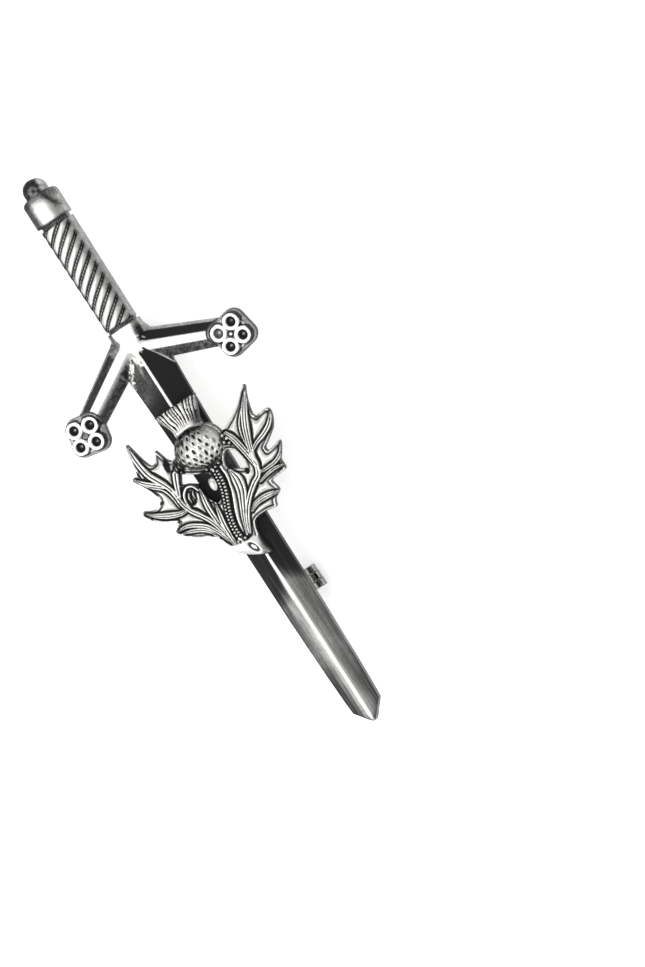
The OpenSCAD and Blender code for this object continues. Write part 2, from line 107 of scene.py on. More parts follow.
def blur(field, step, width):
    """Softens a field over a width."""
    reach = max(1, int(3 * width / step))
    offsets = np.arange(-reach, reach + 1)
    weights = np.exp(-((offsets * step / width) ** 2) / 2)
    weights /= weights.sum()
    for axis in (0, 1):
        pad = [(0, 0), (0, 0)]
        pad[axis] = (reach, reach)
        padded = np.pad(field, pad, mode="edge")
        size = field.shape[axis]
        total = np.zeros_like(field)
        for start, weight in enumerate(weights):
            total += weight * np.take(padded, np.arange(start, start + size), axis)
        field = total
    return field


def outline_distance(x, p, corners):
    """Distance from a closed outline, negative inside it."""
    nearest = np.full(x.shape, 1e9)
    inside = np.zeros(x.shape, bool)
    for (ax, ap), (bx, bp) in zip(corners, corners[1:] + corners[:1]):
        ux, up = bx - ax, bp - ap
        share = np.clip(((x - ax) * ux + (p - ap) * up) / (ux * ux + up * up), 0, 1)
        nearest = np.minimum(nearest, (x - ax - share * ux) ** 2 + (p - ap - share * up) ** 2)
        if up:
            inside ^= ((ap > p) != (bp > p)) & (x < ux * (p - ap) / up + ax)
    return np.where(inside, -1, 1) * np.sqrt(nearest)


def arc_corners(rows, steps=4):
    """Corners of a closed outline whose rows are x, p and the outward rise of the arc to the next row."""
    corners = []
    for (ax, ap, rise), (bx, bp, _) in zip(rows, rows[1:] + rows[:1]):
        for step in range(steps if rise else 1):
            share = step / steps
            bulge = 4 * rise * share * (1 - share)
            corners.append((ax + (bx - ax) * share + (bp - ap) * bulge,
                            ap + (bp - ap) * share - (bx - ax) * bulge))
    return corners


def smooth_rows(rows, steps=6):
    """Rows of numbers with smooth rows put between them."""
    rows = np.array(rows, float)
    padded = np.vstack([2 * rows[0] - rows[1], rows, 2 * rows[-1] - rows[-2]])
    made = []
    for before, here, there, after in zip(padded, padded[1:], padded[2:], padded[3:]):
        for t in np.arange(steps) / steps:
            made.append(0.5 * (2 * here + (there - before) * t
                               + (2 * before - 5 * here + 4 * there - after) * t ** 2
                               + (3 * here - 3 * there + after - before) * t ** 3))
    made.append(rows[-1])
    return np.array(made)


class Relief:
    """A cast relief: its height, its distance from the outline, and its patina with painted light and shade,
    over a grid.
    """

    def __init__(self, x_range, p_range, step):
        self.step = step
        self.cols = np.arange(round(x_range[0] / step), round(x_range[1] / step) + 1) * step
        self.rows = p_range[0] + np.arange(round((p_range[1] - p_range[0]) / step) + 1) * step
        self.x, self.p = np.meshgrid(self.cols, self.rows)
        self.z = np.zeros_like(self.x)
        self.edge = np.full_like(self.x, 99.0)
        self.rise = np.zeros_like(self.x)
        self.line = np.zeros_like(self.x)
        self.open = np.full_like(self.x, 99.0)
        self.patina_and_shade = np.zeros_like(self.x)

    def mottle(self, width, seed):
        """Even random patches about as wide as asked, between -1 and 1."""
        rough = blur(np.random.default_rng(seed).normal(size=self.x.shape), self.step, width)
        return np.clip(rough / (2 * rough.std()), -1, 1)

    def window(self, x_low, x_high, p_low, p_high):
        """The part of the grid inside a box."""
        c0, c1 = np.searchsorted(self.cols, [x_low, x_high])
        r0, r1 = np.searchsorted(self.rows, [p_low, p_high])
        return np.s_[r0:r1, c0:c1]

    def near_curve(self, curve, margin):
        """Part of the grid near a curve, the signed distance from it and the place along it."""
        low, high = curve[:, :2].min(0) - margin, curve[:, :2].max(0) + margin
        part = self.window(low[0], high[0], low[1], high[1])
        x, p = self.x[part], self.p[part]
        best = np.full(x.shape, 1e9)
        side = np.ones(x.shape)
        place = np.zeros(x.shape)
        for i, (a, b) in enumerate(zip(curve[:-1, :2], curve[1:, :2])):
            ux, up = b - a
            share = np.clip(((x - a[0]) * ux + (p - a[1]) * up) / (ux * ux + up * up), 0, 1)
            dx, dp = x - a[0] - share * ux, p - a[1] - share * up
            far = dx * dx + dp * dp
            closer = far < best
            best = np.where(closer, far, best)
            side = np.where(closer, np.where(ux * dp - up * dx < 0, -1, 1), side)
            place = np.where(closer, i + share, place)
        return part, side * np.sqrt(best), place

    def strand(self, rows, ridges=1, groove=0.55):
        """Lays a bundle of ridges. Rows: x, p, half width and height."""
        curve = smooth_rows(rows)
        part, off, place = self.near_curve(curve, curve[:, 2].max() + 1.6)
        index = np.arange(len(curve))
        half = np.interp(place, index, curve[:, 2])
        tall = np.interp(place, index, curve[:, 3])
        across = np.clip(off / half, -1, 1)
        dome = np.sqrt(1 - across ** 2)
        ridge = np.abs(np.sin(math.pi * ridges * (across + 1) / 2))
        lift = tall * dome ** 0.7 * (1 - groove * (1 - ridge))
        above = lift > self.rise[part]
        self.line[part] = np.where(above, ease(0.64, 0.22, ridge), self.line[part])
        self.rise[part] = np.where(above, lift, self.rise[part])
        self.open[part] = np.minimum(self.open[part], np.abs(off) - half)

    def bead(self, x, p, half_x, half_p, tall, turn=0):
        """Raises an oval bead."""
        reach = max(half_x, half_p) + 1.2
        part = self.window(x - reach, x + reach, p - reach, p + reach)
        dx, dp = self.x[part] - x, self.p[part] - p
        c, s = math.cos(math.radians(turn)), math.sin(math.radians(turn))
        far = np.hypot((dx * c + dp * s) / half_x, (dp * c - dx * s) / half_p)
        lift = tall * np.sqrt(np.clip(1 - far ** 2, 0, 1))
        above = lift > self.rise[part]
        self.line[part] = np.where(above, 0, self.line[part])
        self.rise[part] = np.where(above, lift, self.rise[part])
        self.open[part] = np.minimum(self.open[part], (far - 1) * min(half_x, half_p))

    def spot(self, x, p, half_x, half_p, turn=0):
        """1 in the middle of an oval and 0 outside it, with a soft edge."""
        dx, dp = self.x - x, self.p - p
        c, s = math.cos(math.radians(turn)), math.sin(math.radians(turn))
        return np.exp(-((dx * c + dp * s) / half_x) ** 2 - ((dp * c - dx * s) / half_p) ** 2)


# Depth of the line where a wall's own shade starts
SHOULDER = 0.1


# Grid places nearer to the outline than this share of a step are moved onto it
SNAP = 0.3
LEAST_SLOPE = 0.2


def outline_fields(relief, rows):
    """Grid of x, p, height, edge distance, and patina with painted light and shade, with the places beside
    the outline moved onto it.
    """
    x, p = relief.x[rows].copy(), relief.p[rows].copy()
    edge = relief.edge[rows].copy()
    slope_p, slope_x = np.gradient(edge, p[:, 0], x[0])
    steep = np.clip(slope_p ** 2 + slope_x ** 2, LEAST_SLOPE, None)
    near = np.abs(edge) < SNAP * relief.step
    x[near] -= (edge * slope_x / steep)[near]
    p[near] -= (edge * slope_p / steep)[near]
    edge[near] = 0
    return np.stack([x, p, relief.z[rows], edge, relief.patina_and_shade[rows]], 2)


def cut_grid(fields):
    """Places, square faces and cut faces of the part of a grid that lies inside its outline."""
    edge = fields[..., 3]
    inside = edge <= 0
    total = int(inside.sum())
    number = np.full(edge.shape, -1)
    number[inside] = np.arange(total)
    corners = [inside[:-1, :-1], inside[1:, :-1], inside[1:, 1:], inside[:-1, 1:]]
    whole = np.logical_and.reduce(corners)
    some = np.logical_or.reduce(corners)
    r, c = np.nonzero(whole)
    quads = np.stack([number[r, c], number[r + 1, c], number[r + 1, c + 1], number[r, c + 1]], 1)
    cuts = {}
    cut_places = []
    odd_faces = []
    for r, c in zip(*np.nonzero(some & ~whole)):
        cell = [(r, c), (r + 1, c), (r + 1, c + 1), (r, c + 1)]
        face = []
        for a, b in zip(cell, cell[1:] + cell[:1]):
            if inside[a]:
                face.append(number[a])
            within, without = (a, b) if inside[a] else (b, a)
            if inside[a] == inside[b] or edge[within] == 0:
                continue
            if (within, without) not in cuts:
                share = edge[within] / (edge[within] - edge[without])
                row = fields[within] + share * (fields[without] - fields[within])
                row[3] = 0
                cuts[within, without] = total + len(cut_places)
                cut_places.append(row)
            face.append(cuts[within, without])
        if len(set(face)) > 2:
            odd_faces.append(face)
    places = np.concatenate([fields[inside], np.reshape(cut_places, (-1, 5))])
    used = np.zeros(len(places), bool)
    used[quads.ravel()] = True
    for face in odd_faces:
        used[face] = True
    renumber = np.cumsum(used) - 1
    odd_faces = [[int(renumber[i]) for i in face] for face in odd_faces]
    return places[used], renumber[quads], odd_faces


def open_edges(count, quads, odd_faces):
    """Ends of the edges that only one face has."""
    starts = np.concatenate([quads.ravel()] + [np.array(face) for face in odd_faces])
    ends = np.concatenate([np.roll(quads, -1, 1).ravel()] + [np.roll(face, -1) for face in odd_faces])
    paired = np.isin(starts * count + ends, ends * count + starts)
    return np.stack([starts[~paired], ends[~paired]], 1)


def back_faces(flat, edges, rows, cols, edge):
    """Faces between the rim's places that close the back, as numbers of those places."""
    points = [Vector((x, -p)) for x, p in flat]
    made, _, faces, origin, _, _ = delaunay_2d_cdt(points, edges, [], 0, 1e-5)
    kept = []
    for face in faces:
        x = sum(made[i].x for i in face) / len(face)
        p = -sum(made[i].y for i in face) / len(face)
        row = np.clip(np.searchsorted(rows, p), 1, len(rows) - 1)
        col = np.clip(np.searchsorted(cols, x), 1, len(cols) - 1)
        if edge[row - 1:row + 1, col - 1:col + 1].mean() < 0:
            kept.append([origin[i][0] for i in reversed(face)])
    return kept


def relief_mesh(name, relief, base, rounding, painted_wall_shade, rows=slice(None)):
    """Mesh of a relief: its front, walls down to the flat back, and the back."""
    fields = outline_fields(relief, rows)
    places, quads, odd_faces = cut_grid(fields)
    # The top edge is rounded over
    depth = np.clip(-places[:, 3] / rounding, 0, 1)
    places[:, 2] -= rounding * (1 - np.sqrt(1 - (1 - depth) ** 2))
    count = len(places)
    rim = open_edges(count, quads, odd_faces)
    lows = np.unique(rim)
    ring = len(lows)
    edges = np.searchsorted(lows, rim).tolist()
    walls = []
    for (a, b), (i, j) in zip(rim.tolist(), edges):
        below_a, below_b = count + i, count + j
        walls.append([b, a, below_a, below_b])
        walls.append([below_b, below_a, below_a + ring, below_b + ring])
    backs = back_faces(places[lows, :2], edges, fields[:, 0, 1], relief.cols, relief.edge[rows])
    backs = [[count + ring + i for i in face] for face in backs]

    xyz = np.zeros((count + 2 * ring, 3))
    xyz[:count, 0] = places[:, 0]
    xyz[:count, 1] = along_y(places[:, 1])
    xyz[:count, 2] = base + places[:, 2]
    xyz[count:count + ring] = xyz[lows] - [0, 0, SHOULDER]
    xyz[count + ring:, :2] = xyz[lows, :2]
    xyz[count + ring:, 2] = base
    mesh = bpy.data.meshes.new(name)
    mesh.from_pydata((xyz * MM).tolist(), [], quads.tolist() + odd_faces + walls + backs)
    # Walls get a painted shade, grey as they turn from the light, or their top's shade where that is darker
    wall_shade = np.maximum(painted_wall_shade, 0.85 * places[lows, 4])
    shade = np.concatenate([places[:, 4], wall_shade, wall_shade])
    mesh.attributes.new("patina_and_shade", "FLOAT", "POINT").data.foreach_set("value", shade.astype(np.float32))
    return mesh


def piece(name, mesh, body, material, replaces=()):
    """An object that rides on a body."""
    made = bpy.data.objects.new(name, mesh)
    bpy.context.scene.collection.objects.link(made)
    mesh.materials.append(material)
    mesh.shade_smooth()
    mesh.set_sharp_from_angle(angle=math.radians(50))
    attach(made, body)
    if replaces:
        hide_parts(*replaces)
    return made


# Sword relief. Patina and painted light and shade are one share: 0 is bright metal and 1 is black

# How steeply a form's height falls past its end
FALL = 8
# How far a form's patina goes on past its outline, so that its wall has one shade
PAST_EDGE = 0.2
BUTTON_R = 1.9
BUTTON_MID = BUTTON_END + BUTTON_R
BUTTON_STOP = 3
BUTTON_RISE = 1.6
CAP = (2.0, 6.9)
CAP_R = 3.05
CAP_SHOULDER = 1.0
CAP_RISE = 1.85
GRIP = (7.5, 26.2)
GRIP_R = (2.85, 2.68)
GRIP_RISE = 1.55
NECK_R = 2.45
NECK_RISE = 1.1
NECK_STOP = 28.5
HILT_WALL = 1.5
# Depth by which cap and grip are drawn in at their ends
END_STEP = 0.2
HUB_P = 30.8
GUARD_HALF = 14.6
LOBE_P = {1: 36.9, -1: 37.8}
# How far the arms' middle lines pass above lobes and hub
ARM_RISE = 0.5
ROOT_RISE = {1: 0.5, -1: 1.8}
ARM_ROOT_W = 5.4
ARM_END_W = 4.4
ARM_H = 2.3
# Across an arm from its middle. Rows: share of the half width, height
ARM_SECTION = [(0.0, 2.3), (0.27, 2.3), (0.8, 1.15), (1.0, 0.6), (1.4, -0.6)]
# The hub. Rows: place along the sword, half width of its top, and then of its foot
HUB_TOP = [(26.6, 1.9), (29, 1.8), (31.5, 0.5), (33, 0.0)]
HUB_SIDE = [(26.6, 2.9), (27.6, 2.95), (29, 3.6), (33, 4.05)]
HUB_START = 26.6
HUB_STOP = 34
# The bright V under the hub
V_START = 28.2
V_SLOPE = 1.8
FOIL_R = 1.5
FOIL_PITCH = 2.8
FOIL_H = 2.5
FOIL_TURN = 11
DENT_R = 0.77
BLOCK_TOP = 1.75
BLOCK_LEAN = 0.4
BLADE_END = 99.9
RIDGE_SOFT = 0.1
BLADE_POINT = 97.2
TIP_HALF = 0.15
BEVEL = math.tan(math.radians(15))
# A small nick in the left face
NICK = (-1.25, 86.1)
NICK_DEPTH = 0.1
# From here to the point the blade is brushed
BRUSHED_FROM = 66
# Rows: place along the sword, half width of the blade
BLADE_ROWS = [
    (30.8, 4.13), (35, 4.08), (38, 3.9), (46, 3.56), (68, 3.15), (80, 3.09), (90, 2.86), (95, 2.65),
    (97.2, 2.5)]
# Cords wound round the grip, with a beaded wire in the groove between two of them
CORD_PITCH = 1.975
CORD_START = 0.37
CORD_SLOPE = 0.76
CORD_BEND = 0.05
CORD_CROWN = 0.12
GROOVE_HALF = 0.42
GROOVE_DEPTH = 0.2
WIRE_HALF = 0.19
WIRE_RISE = 0.17
WIRE_PITCH = 0.44


def barrel(x, p, start, end, radius, wall, rise):
    """Height and outline distance of a stretch with upright walls and a rounded front."""
    out = np.maximum(start - p, p - end)
    share = np.clip(1 - (x / radius) ** 2, 0, 1)
    z = wall + rise * np.sqrt(share) - FALL * np.clip(out, 0, None)
    return z, np.maximum(np.abs(x) - radius, out)


def button(x, p):
    """Height and outline distance of the pommel's button."""
    far = np.hypot(x, np.minimum(p - BUTTON_MID, 0))
    past = p - BUTTON_STOP
    dome = BUTTON_RISE * np.sqrt(np.clip(1 - (far / BUTTON_R) ** 2, 0, 1))
    return HILT_WALL + dome - FALL * np.clip(past, 0, None), np.maximum(far - BUTTON_R, past)


def button_patina_and_light(relief):
    """Black, with a lighter ring, and painted light that makes its right side lighter."""
    ball = np.hypot(relief.x - 0.2, relief.p - BUTTON_MID)
    # The right side is painted lighter, as if lit
    tone_change = 0.4 * np.exp(-((ball - 0.5) / 0.4) ** 2) + 0.5 * ease(0.9, 1.6, relief.x)
    return 0.92 - tone_change + 0.15 * relief.mottle(0.15, 14)


def cap(x, p):
    """Height and outline distance of the pommel's cap, with its rounded shoulder."""
    shoulder = np.clip(1 - (p - CAP[0]) / CAP_SHOULDER, 0, 1)
    drawn_in = CAP_SHOULDER * (1 - np.sqrt(1 - shoulder ** 2))
    z, edge = barrel(x, p, *CAP, CAP_R - drawn_in, HILT_WALL, CAP_RISE)
    return z - drawn_in - END_STEP * ease(0.25, 0, CAP[1] - p), edge


def cap_patina_and_shade(x, p):
    """Painted shade on the sides and toward the button, a dark curl that is a painted shadow of the shoulder,
    and dark rims, round a bright middle.
    """
    # The curl is a painted shadow of the shoulder, and the darker sides are painted shade
    bend = 1.35 + 0.45 * np.clip(p - 2.6, 0, 3)
    shoulder_shadow = 0.68 * np.exp(-((x - bend) / 0.42) ** 2) * ease(2.0, 2.8, p) * ease(6.0, 4.3, p)
    lit_and_clean = (1 - 0.72 * ease(-0.6, -2.2, x)) * (1 - 0.36 * ease(0.5, 1.9, x)) * (1 - shoulder_shadow)
    lit_and_clean = lit_and_clean * (1 - 0.42 * ease(4.2, 2.6, p)) * (1 - 0.5 * ease(0.5, 0.1, p - CAP[0]))
    return 1 - lit_and_clean * (1 - 0.25 * ease(6.2, 6.9, p))


def grip(relief):
    """Height, outline distance, and patina with painted shade, of the grip with its cords and wires."""
    x, p = relief.x, relief.p
    z, edge = barrel(x, p, *GRIP, np.interp(p, GRIP, GRIP_R), HILT_WALL - 0.1, GRIP_RISE)
    turn = (p + CORD_SLOPE * x + CORD_BEND * x ** 3 / 3 - CORD_START) / CORD_PITCH
    groove_at = (turn - np.round(turn)) * CORD_PITCH
    fade = ease(2.62, 2.1, x)
    groove = ease(GROOVE_HALF, GROOVE_HALF - 0.1, np.abs(groove_at))
    bead = 0.5 + 0.5 * np.cos(2 * math.pi * x / WIRE_PITCH)
    wire = np.exp(-(groove_at / WIRE_HALF) ** 2) * (0.4 + 0.6 * bead)
    crown = np.cos(math.pi * groove_at / CORD_PITCH) ** 2
    z = z - fade * (GROOVE_DEPTH * groove - WIRE_RISE * wire) - CORD_CROWN * fade * crown
    z = z - END_STEP * ease(0.3, 0, np.minimum(p - GRIP[0], GRIP[1] - p))
    dark = groove * fade * (0.72 - 0.7 * wire) + 0.16 * ease(0.95, 0.3, np.abs(groove_at)) * fade
    dark = dark + 0.07 + 0.05 * relief.mottle(0.2, 13)
    # Painted shade: the left edge of the grip dark and its right side darker
    dark = np.maximum(dark, 0.8 * ease(-1.9, -2.45, x)) + 0.34 * ease(0.9, 2.3, x)
    return z, edge, dark * ease(GRIP[0], GRIP[0] + 0.1, p) * ease(GRIP[1], GRIP[1] - 0.1, p)


def hilt(relief):
    """Pommel, collars and twisted grip."""
    x, p = relief.x, relief.p
    button_z, button_edge = button(x, p)
    cap_z, cap_edge = cap(x, p)
    neck_z, neck_edge = barrel(x, p, CAP[1] - 1, NECK_STOP, NECK_R, HILT_WALL - 0.2, NECK_RISE)
    grip_z, grip_edge, grip_patina_and_shade = grip(relief)
    forms = [(button_z, button_edge), (cap_z, cap_edge), (neck_z, neck_edge), (grip_z, grip_edge)]
    for z, edge in forms:
        relief.z = np.maximum(relief.z, np.where(edge < 0.3, z, 0))
        relief.edge = np.minimum(relief.edge, edge)
    relief.patina_and_shade += grip_patina_and_shade
    for line in ((CAP[1] + GRIP[0]) / 2, GRIP[1] + 0.25):
        collar = np.exp(-((p - line) / 0.33) ** 2)
        core = np.exp(-((p - line) / 0.1) ** 2) * (0.5 + 0.5 * np.cos(2 * math.pi * x / 0.4))
        relief.patina_and_shade += 0.95 * collar * (1 - 0.5 * core) * ease(2.9, 2.4, x)
    on_cap = (p > CAP[0]) & (p < CAP[1]) & (cap_edge < PAST_EDGE)
    relief.patina_and_shade += on_cap * cap_patina_and_shade(x, p)
    relief.patina_and_shade += ((button_edge < PAST_EDGE) & (p < CAP[0])) * button_patina_and_light(relief)


def arm_field(relief, side):
    """Distance along and across one guard arm."""
    root_p = HUB_P - ROOT_RISE[side]
    foil_x, fall = side * GUARD_HALF, LOBE_P[side] - ARM_RISE - root_p
    length = math.hypot(foil_x, fall)
    ux, up = foil_x / length, fall / length
    along = relief.x * ux + (relief.p - root_p) * up
    across = (relief.x * up - (relief.p - root_p) * ux) * side
    return along, across, length


def guard_arm(relief, side):
    """One bevelled arm and its painted shade: black on the upper bevel, grey or dark below, with a bright
    top.
    """
    off = ease(1.0, 1.6, np.abs(relief.x))
    along, across, length = arm_field(relief, side)
    length -= FOIL_PITCH / 2
    half = np.interp(along, [0, length], [ARM_ROOT_W / 2, ARM_END_W / 2])
    share = np.abs(across) / half
    edge = np.maximum(np.maximum(np.abs(across) - half, -along), along - length)
    z = np.interp(share, *np.array(ARM_SECTION).T)
    relief.z = np.maximum(relief.z, np.where(edge < 0.6, z, 0))
    relief.edge = np.minimum(relief.edge, edge)
    lit = ease(0.5, 1.6, along) * ease(length + 0.3, length - 0.5, along)
    # The bevels and the lower side get painted shade, and the top stays bright
    bevel = ease(0.27, 0.34, share) * (across > 0)
    wall = ease(0.8, 0.86, share)
    if side > 0:
        upper = bevel * (0.97 - 0.6 * wall)
        lower = 0.5 * ease(0.24, 0.36, share) + 0.14 * ease(0.36, 0.9, share)
    else:
        upper = bevel * (0.88 - 0.4 * wall) * (0.6 + 0.4 * ease(3.4, 4.6, along))
        lower = 0.76 * ease(0.22, 0.62, share)
    shade = np.maximum(upper * off, lower * (across < 0) * off)
    relief.patina_and_shade = np.maximum(relief.patina_and_shade, lit * shade)


def hub(relief):
    """Neck of the guard between grip and arms, with a bright top and shaded bevels."""
    x, p = relief.x, relief.p
    half_top = np.interp(p, *np.array(HUB_TOP).T)
    beside = np.abs(x) - np.interp(p, *np.array(HUB_SIDE).T)
    edge = np.maximum(beside, np.maximum(HUB_START - p, p - HUB_STOP))
    z = ARM_H + 0.15 - 0.3 * ease(30.5, 33.5, p) - 1.1 * np.clip(np.abs(x) - half_top, 0, None)
    z = np.maximum(z, 0.9) - FALL * np.clip(HUB_START - p, 0, None)
    relief.z = np.maximum(relief.z, np.where(edge < 0.5, z, 0))
    relief.edge = np.minimum(relief.edge, edge)
    beyond = np.abs(x) - half_top
    right = 0.72 * ease(-0.95, 0.3, beyond) + 0.22 * ease(0.0, 0.4, beyond) - 0.55 * ease(0.75, 0.95, beyond)
    right = right * (0.5 + 0.5 * ease(26.8, 28.2, p))
    shade = np.where(x > 0, right, 0.64 * ease(-0.1, 0.25, beyond))
    shade = shade * ease(26.5, 27, p) * ease(29.9, 28.8, p)
    relief.patina_and_shade = np.maximum(relief.patina_and_shade, shade)


def mottle_and_brighten_hub(relief):
    """Softens hub and arms into each other, mottles them, and makes the hub and its V bright."""
    x, p = relief.x, relief.p
    near_hub = ease(5.2, 2.6, np.hypot(x, 1.2 * (p - HUB_P)))
    relief.z = blur(relief.z, relief.step, 0.1)
    relief.z = relief.z + near_hub * (blur(relief.z, relief.step, 0.3) - relief.z)
    rough = relief.mottle(0.13, 3)
    below_v = p - V_START - V_SLOPE * np.abs(x)
    right_cast = ease(30, 31, p - 0.45 * x)
    left_cast = ease(8, 4, -x) * ease(30, 30.6, p)
    on_cast = (below_v < 0) * np.maximum(np.where(x > 0, right_cast, left_cast), 0.35)
    mottled = relief.patina_and_shade + 0.22 * rough * on_cast * ease(0.2, 0.5, relief.patina_and_shade)
    star = ease(2.0, 1.2, np.hypot(x / 1.15, p - 29.9 - 0.2 * np.abs(x)) + 0.6 * rough)
    ray_width = np.where(x > 0, 0.22, 0.6)
    ray = np.exp(-((below_v - 0.5 * ray_width + np.where(x > 0, 0, 0.8) * rough) / ray_width) ** 2)
    ray = ray * ease(0.8, 1.2, np.abs(x)) * ease(4.3, 3.7, np.abs(x))
    relief.patina_and_shade = np.clip(mottled, 0, 1) * (1 - star) * (1 - 0.9 * ray) + 0.08 * star


def guard(relief):
    """Hub and arms, and then the quatrefoils on them."""
    for side in (1, -1):
        guard_arm(relief, side)
    hub(relief)
    mottle_and_brighten_hub(relief)
    for side in (1, -1):
        quatrefoil(relief, side)


def block_reach(u, v, half):
    """Distance from a square of the given half width."""
    return np.hypot(np.clip(np.abs(u) - half, 0, None), np.clip(np.abs(v) - half, 0, None))


def foil_block(relief, u, v, ring_edge, side):
    """Block under the rings with its lean, and its shade round the rings and in the pit between them."""
    block = block_reach(u, v, FOIL_PITCH / 2) - FOIL_R
    block_z = BLOCK_TOP - 1.1 * np.clip((block + 0.1) / (BLOCK_LEAN + 0.1), 0, 1)
    relief.z = np.where(block < BLOCK_LEAN + 0.3, np.maximum(relief.z, block_z), relief.z)
    relief.edge = np.minimum(relief.edge, block - BLOCK_LEAN)
    inner = np.hypot(u, v)
    pit = (0.85 if side > 0 else 0.55) - 0.75 * ease(0.4, 0.1, inner) * (side > 0)
    round_rings = 0.85 * ease(0.25, 0.0, ring_edge) * ease(0.2, -0.1, block)
    # The block's lean is painted grey as shade, darker at its foot
    shade = np.where(inner < 1.2, pit, round_rings + 0.42 + 0.35 * ease(BLOCK_LEAN - 0.2, BLOCK_LEAN, block))
    shown = (block < BLOCK_LEAN + PAST_EDGE) & (ring_edge >= 0) & ((block > -0.3) | (inner < 2))
    relief.patina_and_shade = np.where(shown, np.clip(shade, 0, 1), relief.patina_and_shade)
    return block


def quatrefoil(relief, side):
    """Four dented rings on a block, around a star-shaped pit."""
    c, s = math.cos(math.radians(FOIL_TURN)), math.sin(math.radians(FOIL_TURN)) * side
    dx, dp = relief.x - side * GUARD_HALF, relief.p - LOBE_P[side]
    u, v = dx * c - dp * s, dx * s + dp * c
    half = FOIL_PITCH / 2
    far = np.hypot(np.abs(u) - half, np.abs(v) - half)
    from_seam = np.minimum(np.abs(np.abs(u) - half), np.abs(np.abs(v) - half))
    joint = from_seam - np.where(np.maximum(np.abs(u), np.abs(v)) < half, 0.88, 0.5)
    ring_edge = np.minimum(far - FOIL_R, np.maximum(joint, block_reach(u, v, half) - FOIL_R))
    on_ring = ring_edge < 0
    block = foil_block(relief, u, v, ring_edge, side)
    z = FOIL_H - 0.3 * np.clip((far - 1.3) / 0.2, 0, 1) ** 2
    z = z - 0.1 * ease(DENT_R + 0.1, DENT_R, far)
    bowl = FOIL_H - 0.12 - 0.5 * np.sqrt(np.clip(1 - (far / DENT_R) ** 2, 0, 1))
    z = np.where(far < DENT_R, bowl, z)
    relief.z = np.where(on_ring, z, relief.z)
    relief.z = np.where(~on_ring & (np.hypot(u, v) < 1), FOIL_H - 0.2, relief.z)
    off_middle = (np.abs(u) - half - 0.1 * np.sign(u)) ** 2 + (v - np.sign(v) * half + 0.05) ** 2
    glint = np.exp(-off_middle / 0.07) * (0.8 + 0.5 * relief.mottle(0.12, 12))
    pale = 0.45 * (side > 0) * (u < 0) * (v < 0)
    dark = ease(DENT_R + 0.03, DENT_R - 0.1, far) * (0.8 - 0.55 * glint) * (1 - pale)
    seam = np.maximum(0.8 * ease(0.15, 0.0, -ring_edge), 0.85 * ease(0.3, 0.1, -block))
    relief.patina_and_shade = np.where(on_ring, np.maximum(dark, seam), relief.patina_and_shade)


def blade_tone(relief, share):
    """Patina and painted light of the blade: black above, satin below with painted shade, a painted highlight
    along the ridge, bright where it meets the hub, and painted light under the thistle's right hole.
    """
    x, p = relief.x, relief.p
    right = ease(0.1, 0.35, x)
    left = ease(-0.1, -0.35, x)
    fade_right = ease(77.5, 70.5, p + 1.2 * (1.5 - x)) ** 0.7
    fade_left = ease(5.5, -5, p - 75.7 - 1.4 * np.abs(x))
    black = 0.97 * right * fade_right + 0.93 * left * fade_left
    paler_band = 0.1 + 0.08 * np.abs(x) + 0.24 * np.exp(-((x + 2.5 - 0.6 * (36 - p)) / 0.6) ** 2)
    # Painted shade: the satin differs between the two faces and darkens toward the edges and the point
    satin_and_shade = left * (0.24 + 0.19 * np.abs(x)) + right * (0.17 + 0.49 * (1 - np.exp(-np.abs(x) / 1.05)))
    satin_and_shade = satin_and_shade + ease(86, 93, p) * np.where(x < 0, 0.16 * ease(0.3, 1.2, -x), 0.14 * share ** 2)
    satin_and_shade = satin_and_shade + 0.3 * ease(98.3, 99.6, p)
    # Painted highlight along the ridge of the lower blade
    ridge_highlight = np.exp(-((x + 0.1) / (0.15 + 0.04 * np.clip(p - 69, 0, 6))) ** 2) * ease(68, 70, p)
    lower = np.maximum(black * (1 - 0.85 * ridge_highlight), satin_and_shade * ease(BRUSHED_FROM, 72, p))
    tone = np.where(p > BRUSHED_FROM, lower, black - left * ease(42, 35, p) * paler_band)
    # Painted highlight along the crest of the ridge
    crest_highlight = np.exp(-((x - 0.05) / 0.09) ** 2) * (0.85 - 0.3 * ease(37, 40, p) * ease(69, 67, p))
    jagged = relief.mottle(0.1, 6) * np.where(x > 0, 0.3, 0.9)
    cast_end = np.maximum(V_START + V_SLOPE * np.abs(x), np.where(x > 0, 31.2, 32.9))
    # Painted light: the blade under the thistle's right hole is kept bright against the shade there
    kept_bright = ease(1.3, 1.7, x) * ease(51, 51.6, p) * ease(57, 56.2, p)
    return np.clip(tone * (1 - crest_highlight), 0, 1) * ease(-0.1, 0.25, p - cast_end + jagged) * (1 - 0.95 * kept_bright)


